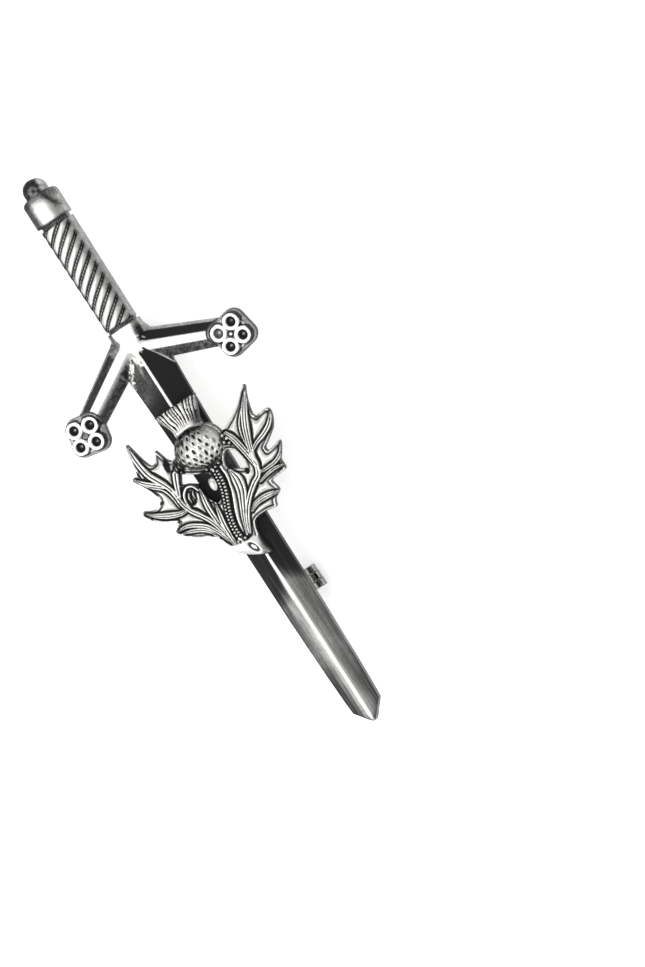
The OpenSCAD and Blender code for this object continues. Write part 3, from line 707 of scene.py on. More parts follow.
def blade(relief):
    """Roof-shaped blade with a point."""
    x, p = relief.x, relief.p
    tip_len = BLADE_END - BLADE_POINT
    point = (BLADE_END - p) / tip_len * (BLADE_ROWS[-1][1] - TIP_HALF) + TIP_HALF
    half = np.where(p > BLADE_POINT, point, np.interp(p, *np.array(BLADE_ROWS).T))
    lean = math.cos(math.atan2(BLADE_ROWS[-1][1] - TIP_HALF, tip_len))
    edge = np.abs(x) - half
    edge = np.where(p > BLADE_POINT - 0.5, np.maximum(edge, (np.abs(x) - point) * lean), edge)
    edge = np.maximum(np.maximum(edge, HUB_P + 0.5 - p), p - BLADE_END)
    z = BLADE_H + 0.03 - BEVEL * (np.sqrt(x ** 2 + RIDGE_SOFT ** 2) - RIDGE_SOFT)
    nick = np.exp(-((p - NICK[1] - 0.4 * (x + 1.2)) / 0.16) ** 2 - ((x - NICK[0]) / 0.4) ** 2)
    z = z - NICK_DEPTH * nick - 0.25 * ease(BLADE_END - 0.5, BLADE_END, p)
    relief.z = np.maximum(relief.z, np.where(edge < 0.5, z, 0))
    relief.edge = np.minimum(relief.edge, edge)
    relief.patina_and_shade = np.maximum(relief.patina_and_shade, blade_tone(relief, np.abs(x) / half) * (edge < PAST_EDGE))


def sword_relief():
    """The whole front of the sword casting."""
    relief = Relief((-18.6, 18.6), (BUTTON_END - 0.3, BLADE_END + 0.3), 0.08)
    blade(relief)
    guard(relief)
    hilt(relief)
    cavity = blur(relief.z, relief.step, 0.3) - relief.z
    cavity = np.where((relief.edge < -0.3) & (relief.p > GRIP[1] + 1), cavity, 0)
    relief.patina_and_shade = np.clip(relief.patina_and_shade + 1.8 * np.clip(cavity - 0.03, 0, None), 0, 1)
    return relief


# Thistle spray relief

SPRAY_FRONT = BLADE_H + 1.5
LEAF_LOW = 0.95
PILLOW = 0.45
# Outline of leaves and tail, clockwise. Rows: x, p, outward rise of the arc to the next row
LEAF_EDGE = [
    (4.0, 48.7, 0), (5.7, 48.75, -0.05), (12.0, 44.45, 0.15), (12.2, 44.9, -0.05), (10.65, 49.25, 0),
    (11.0, 49.85, 0.03), (13.0, 49.55, 0.15), (13.5, 50.15, 0.08), (12.2, 52.8, 0.02), (9.5, 54.6, 0),
    (9.5, 55.3, -0.05), (12.0, 54.8, 0.2), (12.15, 55.2, 0.03), (10.6, 57.5, 0), (10.6, 58.9, 0.15),
    (10.3, 59.2, 0), (7.4, 59.5, 0), (7.8, 61.1, 0.15), (7.4, 61.7, 0), (6.4, 62.2, -0.05),
    (6.05, 63.1, 0.15), (5.65, 63.4, -0.03), (4.4, 63.1, 0), (2.8, 63.1, -0.08), (1.6, 63.5, -0.06),
    (0.95, 66, -0.06), (1.4, 68.7, 0.15), (1.0, 68.95, 0.03), (-0.4, 68.4, 0.03), (-3.4, 66.4, 0.02),
    (-4.5, 63.6, -0.03), (-5.1, 62.3, -0.03), (-6.5, 61.5, 0.03), (-8.0, 60.8, 0.03), (-10.3, 58.4, 0.2),
    (-9.9, 57.9, 0), (-9.1, 57.3, 0), (-9.75, 56.6, 0.04), (-12.3, 55.0, 0.06), (-13.5, 53.2, 0.25),
    (-13.1, 52.7, -0.05), (-10.9, 53.6, -0.15), (-9.65, 52.5, -0.05), (-10.7, 49.7, 0), (-11.8, 47.9, 0.2),
    (-11.3, 47.5, 0), (-10.7, 47.6, 0), (-10.4, 46.5, 0.02), (-9.6, 42.5, 0.2), (-9.35, 42.6, 0),
    (-8.8, 45, -0.03), (-8.0, 47.4, -0.1), (-7.0, 47.3, 0), (-6.15, 45.75, 0.2), (-5.9, 45.8, 0),
    (-5.3, 47.7, -0.03), (-4.6, 48.6, 0), (-3.9, 48.3, 0)]
RIGHT_HOLE = [(2.65, 53.2, 0.05), (3.4, 52.0, 0.1), (4.0, 51.7, 0.1), (5.2, 52.5, 0.05), (5.6, 54.2, 0.05),
              (5.3, 55.6, 0.1), (4.5, 55.5, 0), (2.65, 54.3, 0.1)]
LEFT_HOLE = [
    (-4.5, 51.0, 0), (-3.0, 52.0, 0), (-1.6, 52.7, 0), (-0.5, 53.3, 0.1), (-0.3, 55.5, 0.05),
    (-0.9, 57.4, 0.1), (-1.7, 57.9, 0.1), (-2.8, 55.6, 0), (-3.0, 53.8, 0), (-4.3, 52.9, 0), (-5.4, 52.5, 0)]
# Middle of the raised drop that stands beside the stalk
DROP = (-0.62, 55.1)
# Eye of the tail, as seen
EYE_AT = (-2.15, 66.75)
EYE_HALF = (0.52, 1.2)
EYE_TURN = -24
HEAD_AT = (0.55, 49.0)
HEAD_HALF = (4.35, 3.6)
HEAD_H = 3.45
SCALE_W = 1.34
SCALE_LEN = 2.2
FLOWER_TOP = 41.45
FLOWER_NECK = 45.1
FLOWER_HALF = (3.95, 2.45)
FLOWER_MID = 0.65
RIBS = 12
VEIN_SWELL = 1.22
# Veins, as seen in the photograph's view. Ridges, then rows: x, p, half width, height
VEINS = [
    (2, [(-10.65, 42.9, 0.15, 0.4), (-10.75, 44.5, 0.36, 0.5), (-10.6, 46.5, 0.48, 0.55),
         (-10.2, 48.5, 0.5, 0.6), (-9.3, 50.3, 0.48, 0.6), (-8.5, 52.0, 0.42, 0.6), (-8.2, 53.6, 0.4, 0.65)]),
    (1, [(-11.1, 44.6, 0.12, 0.3), (-11.4, 46.3, 0.18, 0.35), (-11.2, 48.3, 0.18, 0.3)]),
    (2, [(-12.5, 47.85, 0.15, 0.35), (-11.6, 49.0, 0.33, 0.45), (-10.4, 50.1, 0.36, 0.5),
         (-9.1, 51.3, 0.3, 0.5)]),
    (1, [(-12.1, 48.8, 0.12, 0.3), (-10.9, 50.4, 0.17, 0.35), (-9.6, 51.6, 0.18, 0.35),
         (-9.0, 53.2, 0.18, 0.35), (-8.8, 55.2, 0.14, 0.3)]),
    (2, [(-8.2, 52.9, 0.4, 0.65), (-8.1, 55.0, 0.4, 0.7), (-7.5, 56.7, 0.4, 0.65), (-6.4, 58.4, 0.4, 0.65),
         (-5.6, 60.0, 0.38, 0.6), (-5.0, 62.0, 0.33, 0.6), (-4.6, 64.6, 0.2, 0.5)]),
    (2, [(-6.5, 50.5, 0.5, 0.65), (-7.2, 52.0, 0.48, 0.65), (-7.9, 53.9, 0.3, 0.6)]),
    (3, [(-13.8, 53.4, 0.15, 0.4), (-12.6, 54.4, 0.38, 0.5), (-11.0, 55.4, 0.48, 0.55),
         (-9.4, 56.1, 0.42, 0.55), (-8.1, 56.3, 0.28, 0.55)]),
    (1, [(-13.3, 54.7, 0.12, 0.3), (-12.0, 56.0, 0.22, 0.35), (-10.2, 56.9, 0.18, 0.3)]),
    (2, [(-11.0, 58.3, 0.15, 0.4), (-9.5, 58.4, 0.32, 0.5), (-8.0, 59.1, 0.36, 0.5),
         (-6.6, 60.2, 0.36, 0.55), (-5.6, 62.0, 0.3, 0.5), (-5.0, 63.8, 0.18, 0.45)]),
    (2, [(-10.7, 59.0, 0.15, 0.35), (-9.3, 59.4, 0.3, 0.4), (-7.8, 60.1, 0.32, 0.45),
         (-6.7, 61.1, 0.28, 0.4), (-6.0, 62.6, 0.16, 0.35)]),
    (1, [(-7.3, 56.6, 0.15, 0.4), (-7.45, 55.2, 0.22, 0.5), (-7.1, 54.0, 0.26, 0.55),
         (-6.2, 53.3, 0.28, 0.6), (-5.3, 53.6, 0.26, 0.55), (-4.85, 54.6, 0.2, 0.45)]),
    (1, [(-6.75, 55.9, 0.12, 0.35), (-6.7, 54.9, 0.2, 0.5), (-6.35, 54.2, 0.16, 0.45)]),
    (1, [(-5.95, 55.4, 0.12, 0.35), (-5.85, 54.7, 0.2, 0.5), (-5.6, 54.2, 0.14, 0.4)]),
    (2, [(-4.55, 54.5, 0.1, 0.3), (-4.75, 56.0, 0.36, 0.5), (-4.95, 58.0, 0.45, 0.55),
         (-4.9, 60.0, 0.38, 0.5), (-4.75, 62.0, 0.28, 0.45)]),
    (2, [(-3.55, 57.4, 0.1, 0.3), (-3.95, 59.5, 0.38, 0.5), (-4.25, 61.8, 0.42, 0.55),
         (-4.3, 64.6, 0.28, 0.45)]),
    (3, [(1.0, 54.8, 0.3, 0.4), (1.25, 56.3, 0.78, 0.55), (0.95, 58.2, 0.78, 0.6), (0.1, 60.0, 0.62, 0.6),
         (-0.9, 62.0, 0.5, 0.55), (-1.9, 64.3, 0.25, 0.45)]),
    (2, [(-1.5, 64.6, 0.2, 0.4), (-0.8, 62.9, 0.33, 0.5), (0.3, 61.1, 0.4, 0.6), (1.8, 59.5, 0.42, 0.6),
         (3.2, 58.4, 0.42, 0.6), (4.4, 57.7, 0.42, 0.6), (5.05, 56.2, 0.42, 0.65), (5.2, 54.4, 0.42, 0.65)]),
    (3, [(5.0, 57.2, 0.25, 0.55), (4.9, 55.3, 0.42, 0.65), (4.6, 53.0, 0.5, 0.65), (4.2, 51.0, 0.5, 0.65),
         (3.6, 49.5, 0.36, 0.5)]),
    (3, [(5.2, 55.0, 0.36, 0.6), (5.9, 52.6, 0.48, 0.6), (6.9, 50.0, 0.58, 0.6), (8.1, 47.8, 0.48, 0.55),
         (9.2, 46.2, 0.32, 0.45), (9.9, 45.3, 0.12, 0.35)]),
    (1, [(5.3, 53.2, 0.15, 0.4), (5.5, 51.2, 0.18, 0.4), (6.2, 49.3, 0.18, 0.4), (7.6, 47.6, 0.15, 0.3)]),
    (2, [(5.6, 54.1, 0.2, 0.5), (6.9, 53.3, 0.33, 0.5), (8.4, 52.8, 0.38, 0.5), (9.8, 52.1, 0.38, 0.5),
         (10.8, 51.1, 0.28, 0.45), (11.15, 50.4, 0.12, 0.35)]),
    (2, [(4.9, 57.5, 0.22, 0.5), (6.4, 57.5, 0.3, 0.5), (7.9, 57.35, 0.32, 0.5), (9.2, 56.6, 0.28, 0.45),
         (9.95, 55.5, 0.12, 0.35)]),
    (2, [(4.2, 58.7, 0.2, 0.45), (6.0, 58.25, 0.3, 0.5), (7.5, 58.2, 0.28, 0.45), (8.6, 58.4, 0.15, 0.35)]),
    (3, [(0.6, 61.9, 0.2, 0.45), (1.8, 61.2, 0.4, 0.5), (3.4, 61.1, 0.45, 0.5), (4.8, 61.3, 0.38, 0.45),
         (5.8, 61.5, 0.15, 0.35)]),
]
# The beaded stalk, as seen. Rows: x, p, half width, height
STALK = [(-0.85, 53.4, 0.55, 0.9), (-0.95, 55.0, 0.66, 1.0), (-1.25, 56.6, 0.66, 1.0),
         (-1.9, 58.3, 0.62, 0.95), (-2.6, 60.0, 0.6, 0.9), (-3.05, 61.8, 0.58, 0.85),
         (-3.2, 63.4, 0.6, 0.8), (-3.1, 64.4, 0.62, 0.7)]
BEAD_PITCH = 0.54
# Beads, as seen. Rows: x, p, half width, half length, height, turn
BEADS = [
    (-2.25, 55.1, 0.8, 1.28, 0.95, 10), (3.0, 49.5, 0.33, 0.4, 1.0, 0), (3.35, 50.2, 0.33, 0.4, 1.0, 0),
    (2.75, 50.5, 0.33, 0.4, 1.0, 0), (3.35, 51.0, 0.28, 0.35, 0.9, 0), (-5.3, 49.9, 0.22, 0.6, 1.0, 0),
    (-5.8, 50.0, 0.22, 0.6, 1.0, 5), (-6.25, 50.2, 0.2, 0.5, 0.9, 10), (-5.5, 50.8, 0.22, 0.3, 0.8, 0),
    (-3.7, 64.7, 0.3, 0.3, 0.7, 0), (-3.1, 64.95, 0.3, 0.3, 0.7, 0), (-2.5, 64.8, 0.3, 0.3, 0.7, 0),
    (-2.0, 64.5, 0.25, 0.3, 0.6, 0), (-1.9, 52.6, 0.3, 0.3, 0.8, 0), (-1.2, 52.95, 0.3, 0.3, 0.85, 0),
    (-0.5, 52.95, 0.3, 0.3, 0.85, 0), (0.2, 52.7, 0.3, 0.3, 0.8, 0)]
# Dark places left by the patina, as seen. Rows: x, p, half width, half length, turn, strength
STAINS = [
    (-7.0, 48.7, 0.6, 1.5, 12, 1.0), (-6.4, 55.9, 0.6, 0.4, 0, 1.0), (3.3, 56.2, 0.5, 0.6, 0, 1.0),
    (-8.7, 47.4, 0.5, 0.35, 0, 0.8), (-10.9, 51.2, 0.35, 1.0, -25, 0.7), (-10.8, 53.2, 0.5, 0.3, 0, 0.8),
    (7.7, 54.9, 0.35, 0.5, 0, 0.8), (-2.9, 53.2, 0.8, 0.9, 0, 0.9), (9.1, 49.9, 0.6, 0.3, 0, 0.6),
    (-1.3, 52.8, 1.6, 0.6, 0, 0.8), (-10.6, 57.3, 0.5, 0.4, 0, 0.7)]


def seen_rows(rows):
    """Rows whose first two numbers are a place as seen, with its true x."""
    return [(seen(x, p, SPRAY_FRONT), p, *rest) for x, p, *rest in rows]


def spray_outline(relief):
    """Distance from the outline of leaves, head and flower."""
    x, p = relief.x, relief.p
    leaves = outline_distance(x, p, arc_corners(LEAF_EDGE))
    leaves = np.maximum(leaves, -outline_distance(x, p, arc_corners(RIGHT_HOLE)))
    leaves = np.maximum(leaves, -outline_distance(x, p, arc_corners(LEFT_HOLE)))
    drop = 0.7 * (np.hypot((x - DROP[0] - 0.1) / 1.05, (p - DROP[1]) / 1.45) - 1)
    leaves = blur(np.minimum(leaves, drop), relief.step, 0.1)
    reach = np.hypot((x - HEAD_AT[0]) / HEAD_HALF[0], (p - HEAD_AT[1]) / HEAD_HALF[1])
    head = (reach - 1) * min(HEAD_HALF)
    half = np.interp(p, [FLOWER_TOP, FLOWER_NECK], FLOWER_HALF)
    fringe = 0.1 * np.cos(2 * math.pi * (x - FLOWER_MID) / half / 2 * RIBS)
    flower = np.maximum(np.abs(x - FLOWER_MID) - half, FLOWER_TOP + fringe - p)
    flower = np.maximum(flower, p - HEAD_AT[1])
    return leaves, head, flower


def head_scales(relief):
    """Domed head with rows of pointed scales, patina between them, and painted shade toward its edges and on
    its smooth right shoulder.
    """
    u = (relief.x - HEAD_AT[0]) / HEAD_HALF[0]
    v = (relief.p - HEAD_AT[1]) / HEAD_HALF[1]
    far = np.sqrt(u * u + v * v)
    dome = HEAD_H * np.sqrt(np.clip(1 - far ** 2, 0, 1))
    round_u = np.arcsin(np.clip(u / np.sqrt(np.clip(1 - v * v, 0.05, 1)), -1, 1)) * HEAD_HALF[0]
    round_v = np.arcsin(np.clip(v, -1, 1)) * HEAD_HALF[1]
    round_u = round_u + 0.22 * relief.mottle(0.6, 7)
    round_v = round_v + 0.3 * relief.mottle(0.6, 8)
    a = round_u / SCALE_W + round_v / SCALE_LEN
    b = round_u / SCALE_W - round_v / SCALE_LEN
    fa, fb = a - np.floor(a), b - np.floor(b)
    own = np.sin(12.9 * np.floor(a) + 78.2 * np.floor(b))
    upper = 2 * np.minimum(fa, 1 - fb)
    lower = 2 * np.minimum(1 - fa, fb)
    across, down = (fa + fb - 1) / 2 * SCALE_W, (fa - fb) / 2 * SCALE_LEN
    wide = 0.26 + 0.05 * own + 0.1 * ease(0.35, 0.8, v)
    drop = np.exp(-(across / wide) ** 2 - ((down - 0.25 - 0.1 * own) / (0.42 + 0.1 * own)) ** 2)
    drop = ease(0.2, 0.6, drop)
    lift = 0.27 * ease(0, 0.55, lower) * ease(0, 0.35, upper) * (0.55 + 0.45 * upper / (upper + lower + 0.01))
    lift = lift * (1 - 0.6 * drop)
    outer = ease(0.45, 0.85, np.hypot(u - 0.1, v - 0.2))
    gap = np.maximum(drop, 0.45 * outer * ease(0.6, 0.1, lower)) + 0.12 * outer * ease(0.4, 0.1, upper)
    gap = np.clip(gap * (0.95 + 0.1 * own + 0.3 * relief.mottle(0.2, 15)), 0, 1)
    edge_shade = 0.3 * ease(0.3, 0.95, v) + 0.3 * ease(-0.2, -0.8, u) + 0.34 * ease(-0.15, -0.6, v)
    shadow = edge_shade * (0.8 + 0.5 * relief.mottle(0.25, 16)) + 0.06 * own
    inside = ease(1.02, 0.86, far)
    smooth = ease(0.85, 0.45, u - 0.45 * v)
    # Painted shade: the smooth right shoulder is greyer
    dark = gap * smooth * ease(1, 0.92, far) + shadow + 0.22 * (1 - smooth)
    return dome + lift * inside * (0.4 + 0.6 * smooth) - 0.2, np.clip(dark, 0, 1)


def flower_ribs(relief):
    """Fan of petals above the head, drawn in to a band."""
    x, p = relief.x, relief.p
    across = (x - FLOWER_MID) / np.interp(p, [FLOWER_TOP, FLOWER_NECK], FLOWER_HALF)
    across = across + 0.045 * np.sin(8 * across + 1) + 0.04 * relief.mottle(0.5, 9)
    crown = 1.0 + 1.35 * np.sqrt(np.clip(1 - across ** 2, 0, 1))
    wave = np.abs(np.cos(math.pi * across / 2 * RIBS))
    ribs = ease(FLOWER_NECK + 0.2, FLOWER_NECK - 0.9, p + 0.5 * relief.mottle(0.35, 18))
    band = 0.15 * np.exp(-((p - 45.45) / 0.35) ** 2)
    z = crown - 0.45 * ribs * (1 - wave ** 0.8) + band - 0.15 * ease(42.2, FLOWER_TOP, p)
    uneven = 0.8 + 0.2 * np.cos(2.4 * np.round((across + 1) / 2 * RIBS))
    tone_change = 0.8 + 0.4 * relief.mottle(0.3, 10)
    dark = ribs * ease(0.8, 0.25, wave) * uneven * (tone_change + 0.1) + 0.2 * ribs * relief.mottle(0.12, 11)
    dark = dark + 0.5 * ease(0.35, 0.05, p - FLOWER_TOP) * ribs + 0.35 * ease(0.85, 1.0, np.abs(across))
    corner = ease(0.35, 0.8, across) * ease(43.2, 44.4, p) * ease(46.2, 45.4, p)
    return z, dark + 0.5 * corner * (1 + 0.4 * relief.mottle(0.2, 19))


def stalk_beads(relief):
    """Two columns of beads along the stalk."""
    curve = smooth_rows(seen_rows(STALK))
    part, off, place = relief.near_curve(curve, 2.2)
    index = np.arange(len(curve))
    run = np.concatenate([[0], np.cumsum(np.hypot(*np.diff(curve[:, :2], axis=0).T))])
    half = np.interp(place, index, curve[:, 2])
    tall = np.interp(place, index, curve[:, 3])
    along = np.interp(place, index, run)
    across = np.clip(off / half, -1, 1)
    side = np.where(across < 0, 0.0, 0.5)
    beat = along / BEAD_PITCH + side
    bead = np.abs(np.sin(math.pi * beat))
    column = np.abs(np.sin(math.pi * across))
    body = np.sqrt(1 - across ** 2)
    lift = tall * body ** 0.5 * (0.45 + 0.55 * bead ** 0.7 * column ** 0.6)
    above = lift > relief.rise[part]
    relief.line[part] = np.where(above, 0.85 * ease(0.7, 0.3, bead * column), relief.line[part])
    relief.rise[part] = np.where(above, lift, relief.rise[part])
    relief.open[part] = np.minimum(relief.open[part], np.abs(off) - half)


def raise_veins(relief):
    """Lays veins, beads and stalk on the leaves."""
    for ridges, rows in VEINS:
        swollen = [(x, p, VEIN_SWELL * half, tall) for x, p, half, tall in seen_rows(rows)]
        relief.strand(swollen, ridges)
    for x, p, *rest in BEADS:
        relief.bead(seen(x, p, SPRAY_FRONT), p, *rest)
    stalk_beads(relief)


def leaf_height(relief, tail, eye):
    """Leaves with pillows between their veins and a raised rim, and a smooth tail with a dent."""
    depth = -relief.edge
    clear = np.clip(np.minimum(relief.open, depth - 0.35), 0, 3)
    pillow = PILLOW * (1 - np.exp(-((clear / 0.5) ** 2)))
    base = blur(LEAF_LOW + pillow, relief.step, 0.1)
    base = base * (1 - tail) + tail * (LEAF_LOW + 0.65 * np.sqrt(np.clip(depth / 1.6, 0, 1)))
    rim = 0.3 * np.exp(-(((depth - 0.16) / 0.16) ** 2))
    return base + np.maximum(relief.rise, rim * (1 - tail)) - 0.4 * ease(0.15, 0.75, eye)


def soft_height(relief, width):
    """Height averaged over a width, without what lies outside the outline."""
    solid = (relief.edge < 0).astype(float)
    return blur(relief.z * solid, relief.step, width) / np.clip(blur(solid, relief.step, width), 0.05, 1)


def leaf_patina_and_shade(relief, tail, eye):
    """Black in the recesses, at the veins' feet and in the stains, with painted shade on steep slopes, and a
    brighter tail with painted shade at its rim and right side, and a black eye.
    """
    depth = -relief.edge
    cavity = 4.5 * (soft_height(relief, 0.16) - relief.z) + 1.2 * (soft_height(relief, 0.5) - relief.z)
    steep = np.hypot(*np.gradient(relief.z, relief.step))
    # Steep slopes get a little painted shade
    dark = 0.95 * ease(0.08, 0.5, cavity) + 0.12 * ease(1.2, 2.4, steep) + 0.12 * relief.mottle(0.25, 5)
    foot = 0.97 * np.exp(-((relief.open - 0.1) / 0.19) ** 2)
    inner_line = 0.75 * np.exp(-((depth - 0.5) / 0.15) ** 2) * ease(0.5, 0.2, relief.rise)
    dark = np.maximum(np.maximum(dark, foot), np.maximum(inner_line, relief.line))
    for x, p, half_x, half_p, turn, strength in STAINS:
        spot = relief.spot(seen(x, p, SPRAY_FRONT), p, half_x, half_p, turn)
        dark = np.maximum(dark, strength * ease(0.25, 0.7, spot) * ease(0.5, 0.25, relief.rise))
    # Painted shade on the tail: darker at its rim and toward its right side
    shade = 0.4 * ease(0.3, 0.05, depth) + 0.5 * ease(-0.2, 0.9, relief.x + 0.3 * (relief.p - 67)) - 0.06
    shade = shade + 0.85 * ease(0.35, 0.55, eye) * ease(0.95, 0.7, eye)
    return np.where(tail > 0.5, np.clip(shade, 0, 1), dark)


def spray_relief():
    """Leaves, veins, stalk, head and flower."""
    relief = Relief((-14, 14), (FLOWER_TOP - 0.4, 69.3), 0.075)
    leaves, head, flower = spray_outline(relief)
    relief.edge = np.minimum(np.minimum(leaves, head), flower)
    raise_veins(relief)
    tail = ease(64.8, 65.6, relief.p - 0.15 * (relief.x + 1))
    eye = relief.spot(seen(*EYE_AT, SPRAY_FRONT), EYE_AT[1], *EYE_HALF, EYE_TURN)
    z = leaf_height(relief, tail, eye)
    scales, scale_gap_and_shade = head_scales(relief)
    ribs, rib_gap = flower_ribs(relief)
    on_flower = (flower < 0) & (head > -0.35)
    on_head = head < 0
    z = np.where(on_flower, np.maximum(ribs, 0), z)
    z = np.where(on_head, np.maximum(scales, z * (head > -0.6)), z)
    relief.z = blur(z, relief.step, 0.035)
    dark = leaf_patina_and_shade(relief, tail, eye)
    dark = np.where(on_head, np.maximum(scale_gap_and_shade * 0.95, dark * 0.6), dark)
    dark = np.where(on_flower & ~on_head, np.maximum(rib_gap, 0.3 * dark), dark)
    relief.patina_and_shade = np.clip(dark, 0, 1)
    return relief


# Materials

BLACKENED = (0.012, 0.012, 0.012, 1)
SILVER = (0.86, 0.85, 0.83, 1)
# The thistle's silver is painted lighter than the sword's, as if it took more light
SILVER_PAINTED_LIGHTER = (0.96, 0.95, 0.93, 1)
NICKEL = (0.56, 0.55, 0.53, 1)
STEEL = (0.62, 0.61, 0.6, 1)


def group(name, inputs, outputs):
    """An empty shader node group with named sockets."""
    tree = bpy.data.node_groups.new(name, "ShaderNodeTree")
    for label, kind, value in inputs:
        socket = tree.interface.new_socket(label, in_out="INPUT", socket_type=kind)
        socket.default_value = value
    for label, kind in outputs:
        tree.interface.new_socket(label, in_out="OUTPUT", socket_type=kind)
    return tree


def add(tree, kind, **values):
    """A node with its settings."""
    node = tree.nodes.new(kind)
    for key, value in values.items():
        setattr(node, key, value)
    return node


def math_node(tree, operation, a, b=None, clamp=False):
    """A Math node whose inputs are links or numbers."""
    node = add(tree, "ShaderNodeMath", operation=operation, use_clamp=clamp)
    for socket, value in zip(node.inputs, (a, b)):
        if value is None:
            continue
        if isinstance(value, (int, float)):
            socket.default_value = value
        else:
            tree.links.new(value, socket)
    return node.outputs[0]


def noise(tree, vector, scale, detail, stretch=(1, 1, 1)):
    """Noise stretched along the object's axes."""
    mapping = add(tree, "ShaderNodeMapping")
    mapping.inputs["Scale"].default_value = stretch
    tree.links.new(vector, mapping.inputs["Vector"])
    node = add(tree, "ShaderNodeTexNoise")
    node.inputs["Scale"].default_value = scale
    node.inputs["Detail"].default_value = detail
    tree.links.new(mapping.outputs[0], node.inputs["Vector"])
    return node.outputs["Fac"]


def colour_between(tree, share, low, high):
    """A colour between two colours."""
    node = add(tree, "ShaderNodeMix", data_type="RGBA")
    tree.links.new(share, next(s for s in node.inputs if s.type == "VALUE"))
    for socket, colour in zip([s for s in node.inputs if s.type == "RGBA"], (low, high)):
        tree.links.new(colour, socket)
    return next(s for s in node.outputs if s.type == "RGBA")


def sums(tree):
    """Math nodes of a tree that add, subtract and multiply."""
    return [partial(math_node, tree, kind) for kind in ("ADD", "SUBTRACT", "MULTIPLY")]


def patina_and_shade_group():
    """Antiqued metal from a share of patina and painted shade: dark where it is high, as in the recesses, and
    bright where it is low, as on wiped tops.
    """
    tree = group("Antique patina",
                 [("Patina_and_shade", "NodeSocketFloat", 0.0), ("Bright", "NodeSocketColor", (0.8, 0.79, 0.77, 1)),
                  ("Dark", "NodeSocketColor", BLACKENED), ("Mottle", "NodeSocketFloat", 0.3),
                  ("Polish", "NodeSocketFloat", 0.2)],
                 [("Color", "NodeSocketColor"), ("Roughness", "NodeSocketFloat"),
                  ("Metal", "NodeSocketFloat"), ("Height", "NodeSocketFloat")])
    given = add(tree, "NodeGroupInput").outputs
    plus, minus, times = sums(tree)
    place = add(tree, "ShaderNodeTexCoord").outputs["Object"]
    fine = noise(tree, place, 2600, 4)
    coarse = noise(tree, place, 420, 3)
    grit = minus(plus(times(fine, 0.6), times(coarse, 0.4)), 0.5)
    # The grit stirs half dark places most
    from_middle = math_node(tree, "ABSOLUTE", minus(times(given["Patina_and_shade"], 2.0), 1.0))
    half_dark = times(minus(1.0, from_middle), 2.0)
    stirred = times(times(grit, given["Mottle"]), plus(half_dark, 0.25))
    mask = plus(given["Patina_and_shade"], stirred, clamp=True)
    kept_bright = minus(1.0, mask)
    rough = plus(given["Polish"], times(mask, 0.22))
    results = {
        "Color": colour_between(tree, minus(1.0, times(kept_bright, kept_bright)), given["Bright"], given["Dark"]),
        "Roughness": plus(rough, times(grit, 0.12), clamp=True),
        "Metal": minus(1.0, times(math_node(tree, "POWER", mask, 3.0), 0.9)),
        "Height": plus(times(fine, 0.5), times(coarse, 0.5)),
    }
    end = add(tree, "NodeGroupOutput")
    for label, link in results.items():
        tree.links.new(link, end.inputs[label])
    return tree


def scratch_group():
    """Fine scratches and lengthwise brushing."""
    tree = group("Brushing", [("Strength", "NodeSocketFloat", 1.0)],
                 [("Height", "NodeSocketFloat"), ("Shade", "NodeSocketFloat")])
    strength = add(tree, "NodeGroupInput").outputs["Strength"]
    plus, minus, times = sums(tree)
    place = add(tree, "ShaderNodeTexCoord").outputs["Object"]
    lines = noise(tree, place, 800, 5, (1, 0.05, 1))
    fine = noise(tree, place, 3000, 3, (1, 0.04, 1))
    both = plus(times(lines, 0.5), times(fine, 0.5))
    end = add(tree, "NodeGroupOutput")
    tree.links.new(times(times(both, 2.0), strength), end.inputs["Height"])
    tree.links.new(times(minus(both, 0.5), strength), end.inputs["Shade"])
    return tree


PATINA_AND_SHADE = patina_and_shade_group()
BRUSHING = scratch_group()


def metal(name, bright, polish, mottle, grain_depth, tarnish=None, brushed=0.0):
    """A silver-coloured metal, with the mesh's patina and painted shade, or the same tarnish all over."""
    material = bpy.data.materials.new(name)
    material.use_nodes = True
    tree = material.node_tree
    shader = tree.nodes["Principled BSDF"]
    shader.inputs["Specular IOR Level"].default_value = 0.15
    finish = add(tree, "ShaderNodeGroup", node_tree=PATINA_AND_SHADE)
    finish.inputs["Bright"].default_value = bright
    finish.inputs["Mottle"].default_value = mottle
    finish.inputs["Polish"].default_value = polish
    height = finish.outputs["Height"]
    shade = None
    if tarnish is None:
        shade = add(tree, "ShaderNodeAttribute", attribute_name="patina_and_shade").outputs["Fac"]
    else:
        finish.inputs["Patina_and_shade"].default_value = tarnish
    if brushed:
        strokes = add(tree, "ShaderNodeGroup", node_tree=BRUSHING)
        strokes.inputs["Strength"].default_value = brushed
        height = math_node(tree, "ADD", height, strokes.outputs["Height"])
        if shade:
            shade = math_node(tree, "ADD", shade, strokes.outputs["Shade"], clamp=True)
    if shade:
        tree.links.new(shade, finish.inputs["Patina_and_shade"])
    tree.links.new(finish.outputs["Color"], shader.inputs["Base Color"])
    tree.links.new(finish.outputs["Roughness"], shader.inputs["Roughness"])
    tree.links.new(finish.outputs["Metal"], shader.inputs["Metallic"])
    bump = add(tree, "ShaderNodeBump")
    bump.inputs["Strength"].default_value = 0.35
    bump.inputs["Distance"].default_value = grain_depth * MM
    tree.links.new(height, bump.inputs["Height"])
    tree.links.new(bump.outputs["Normal"], shader.inputs["Normal"])
    return material


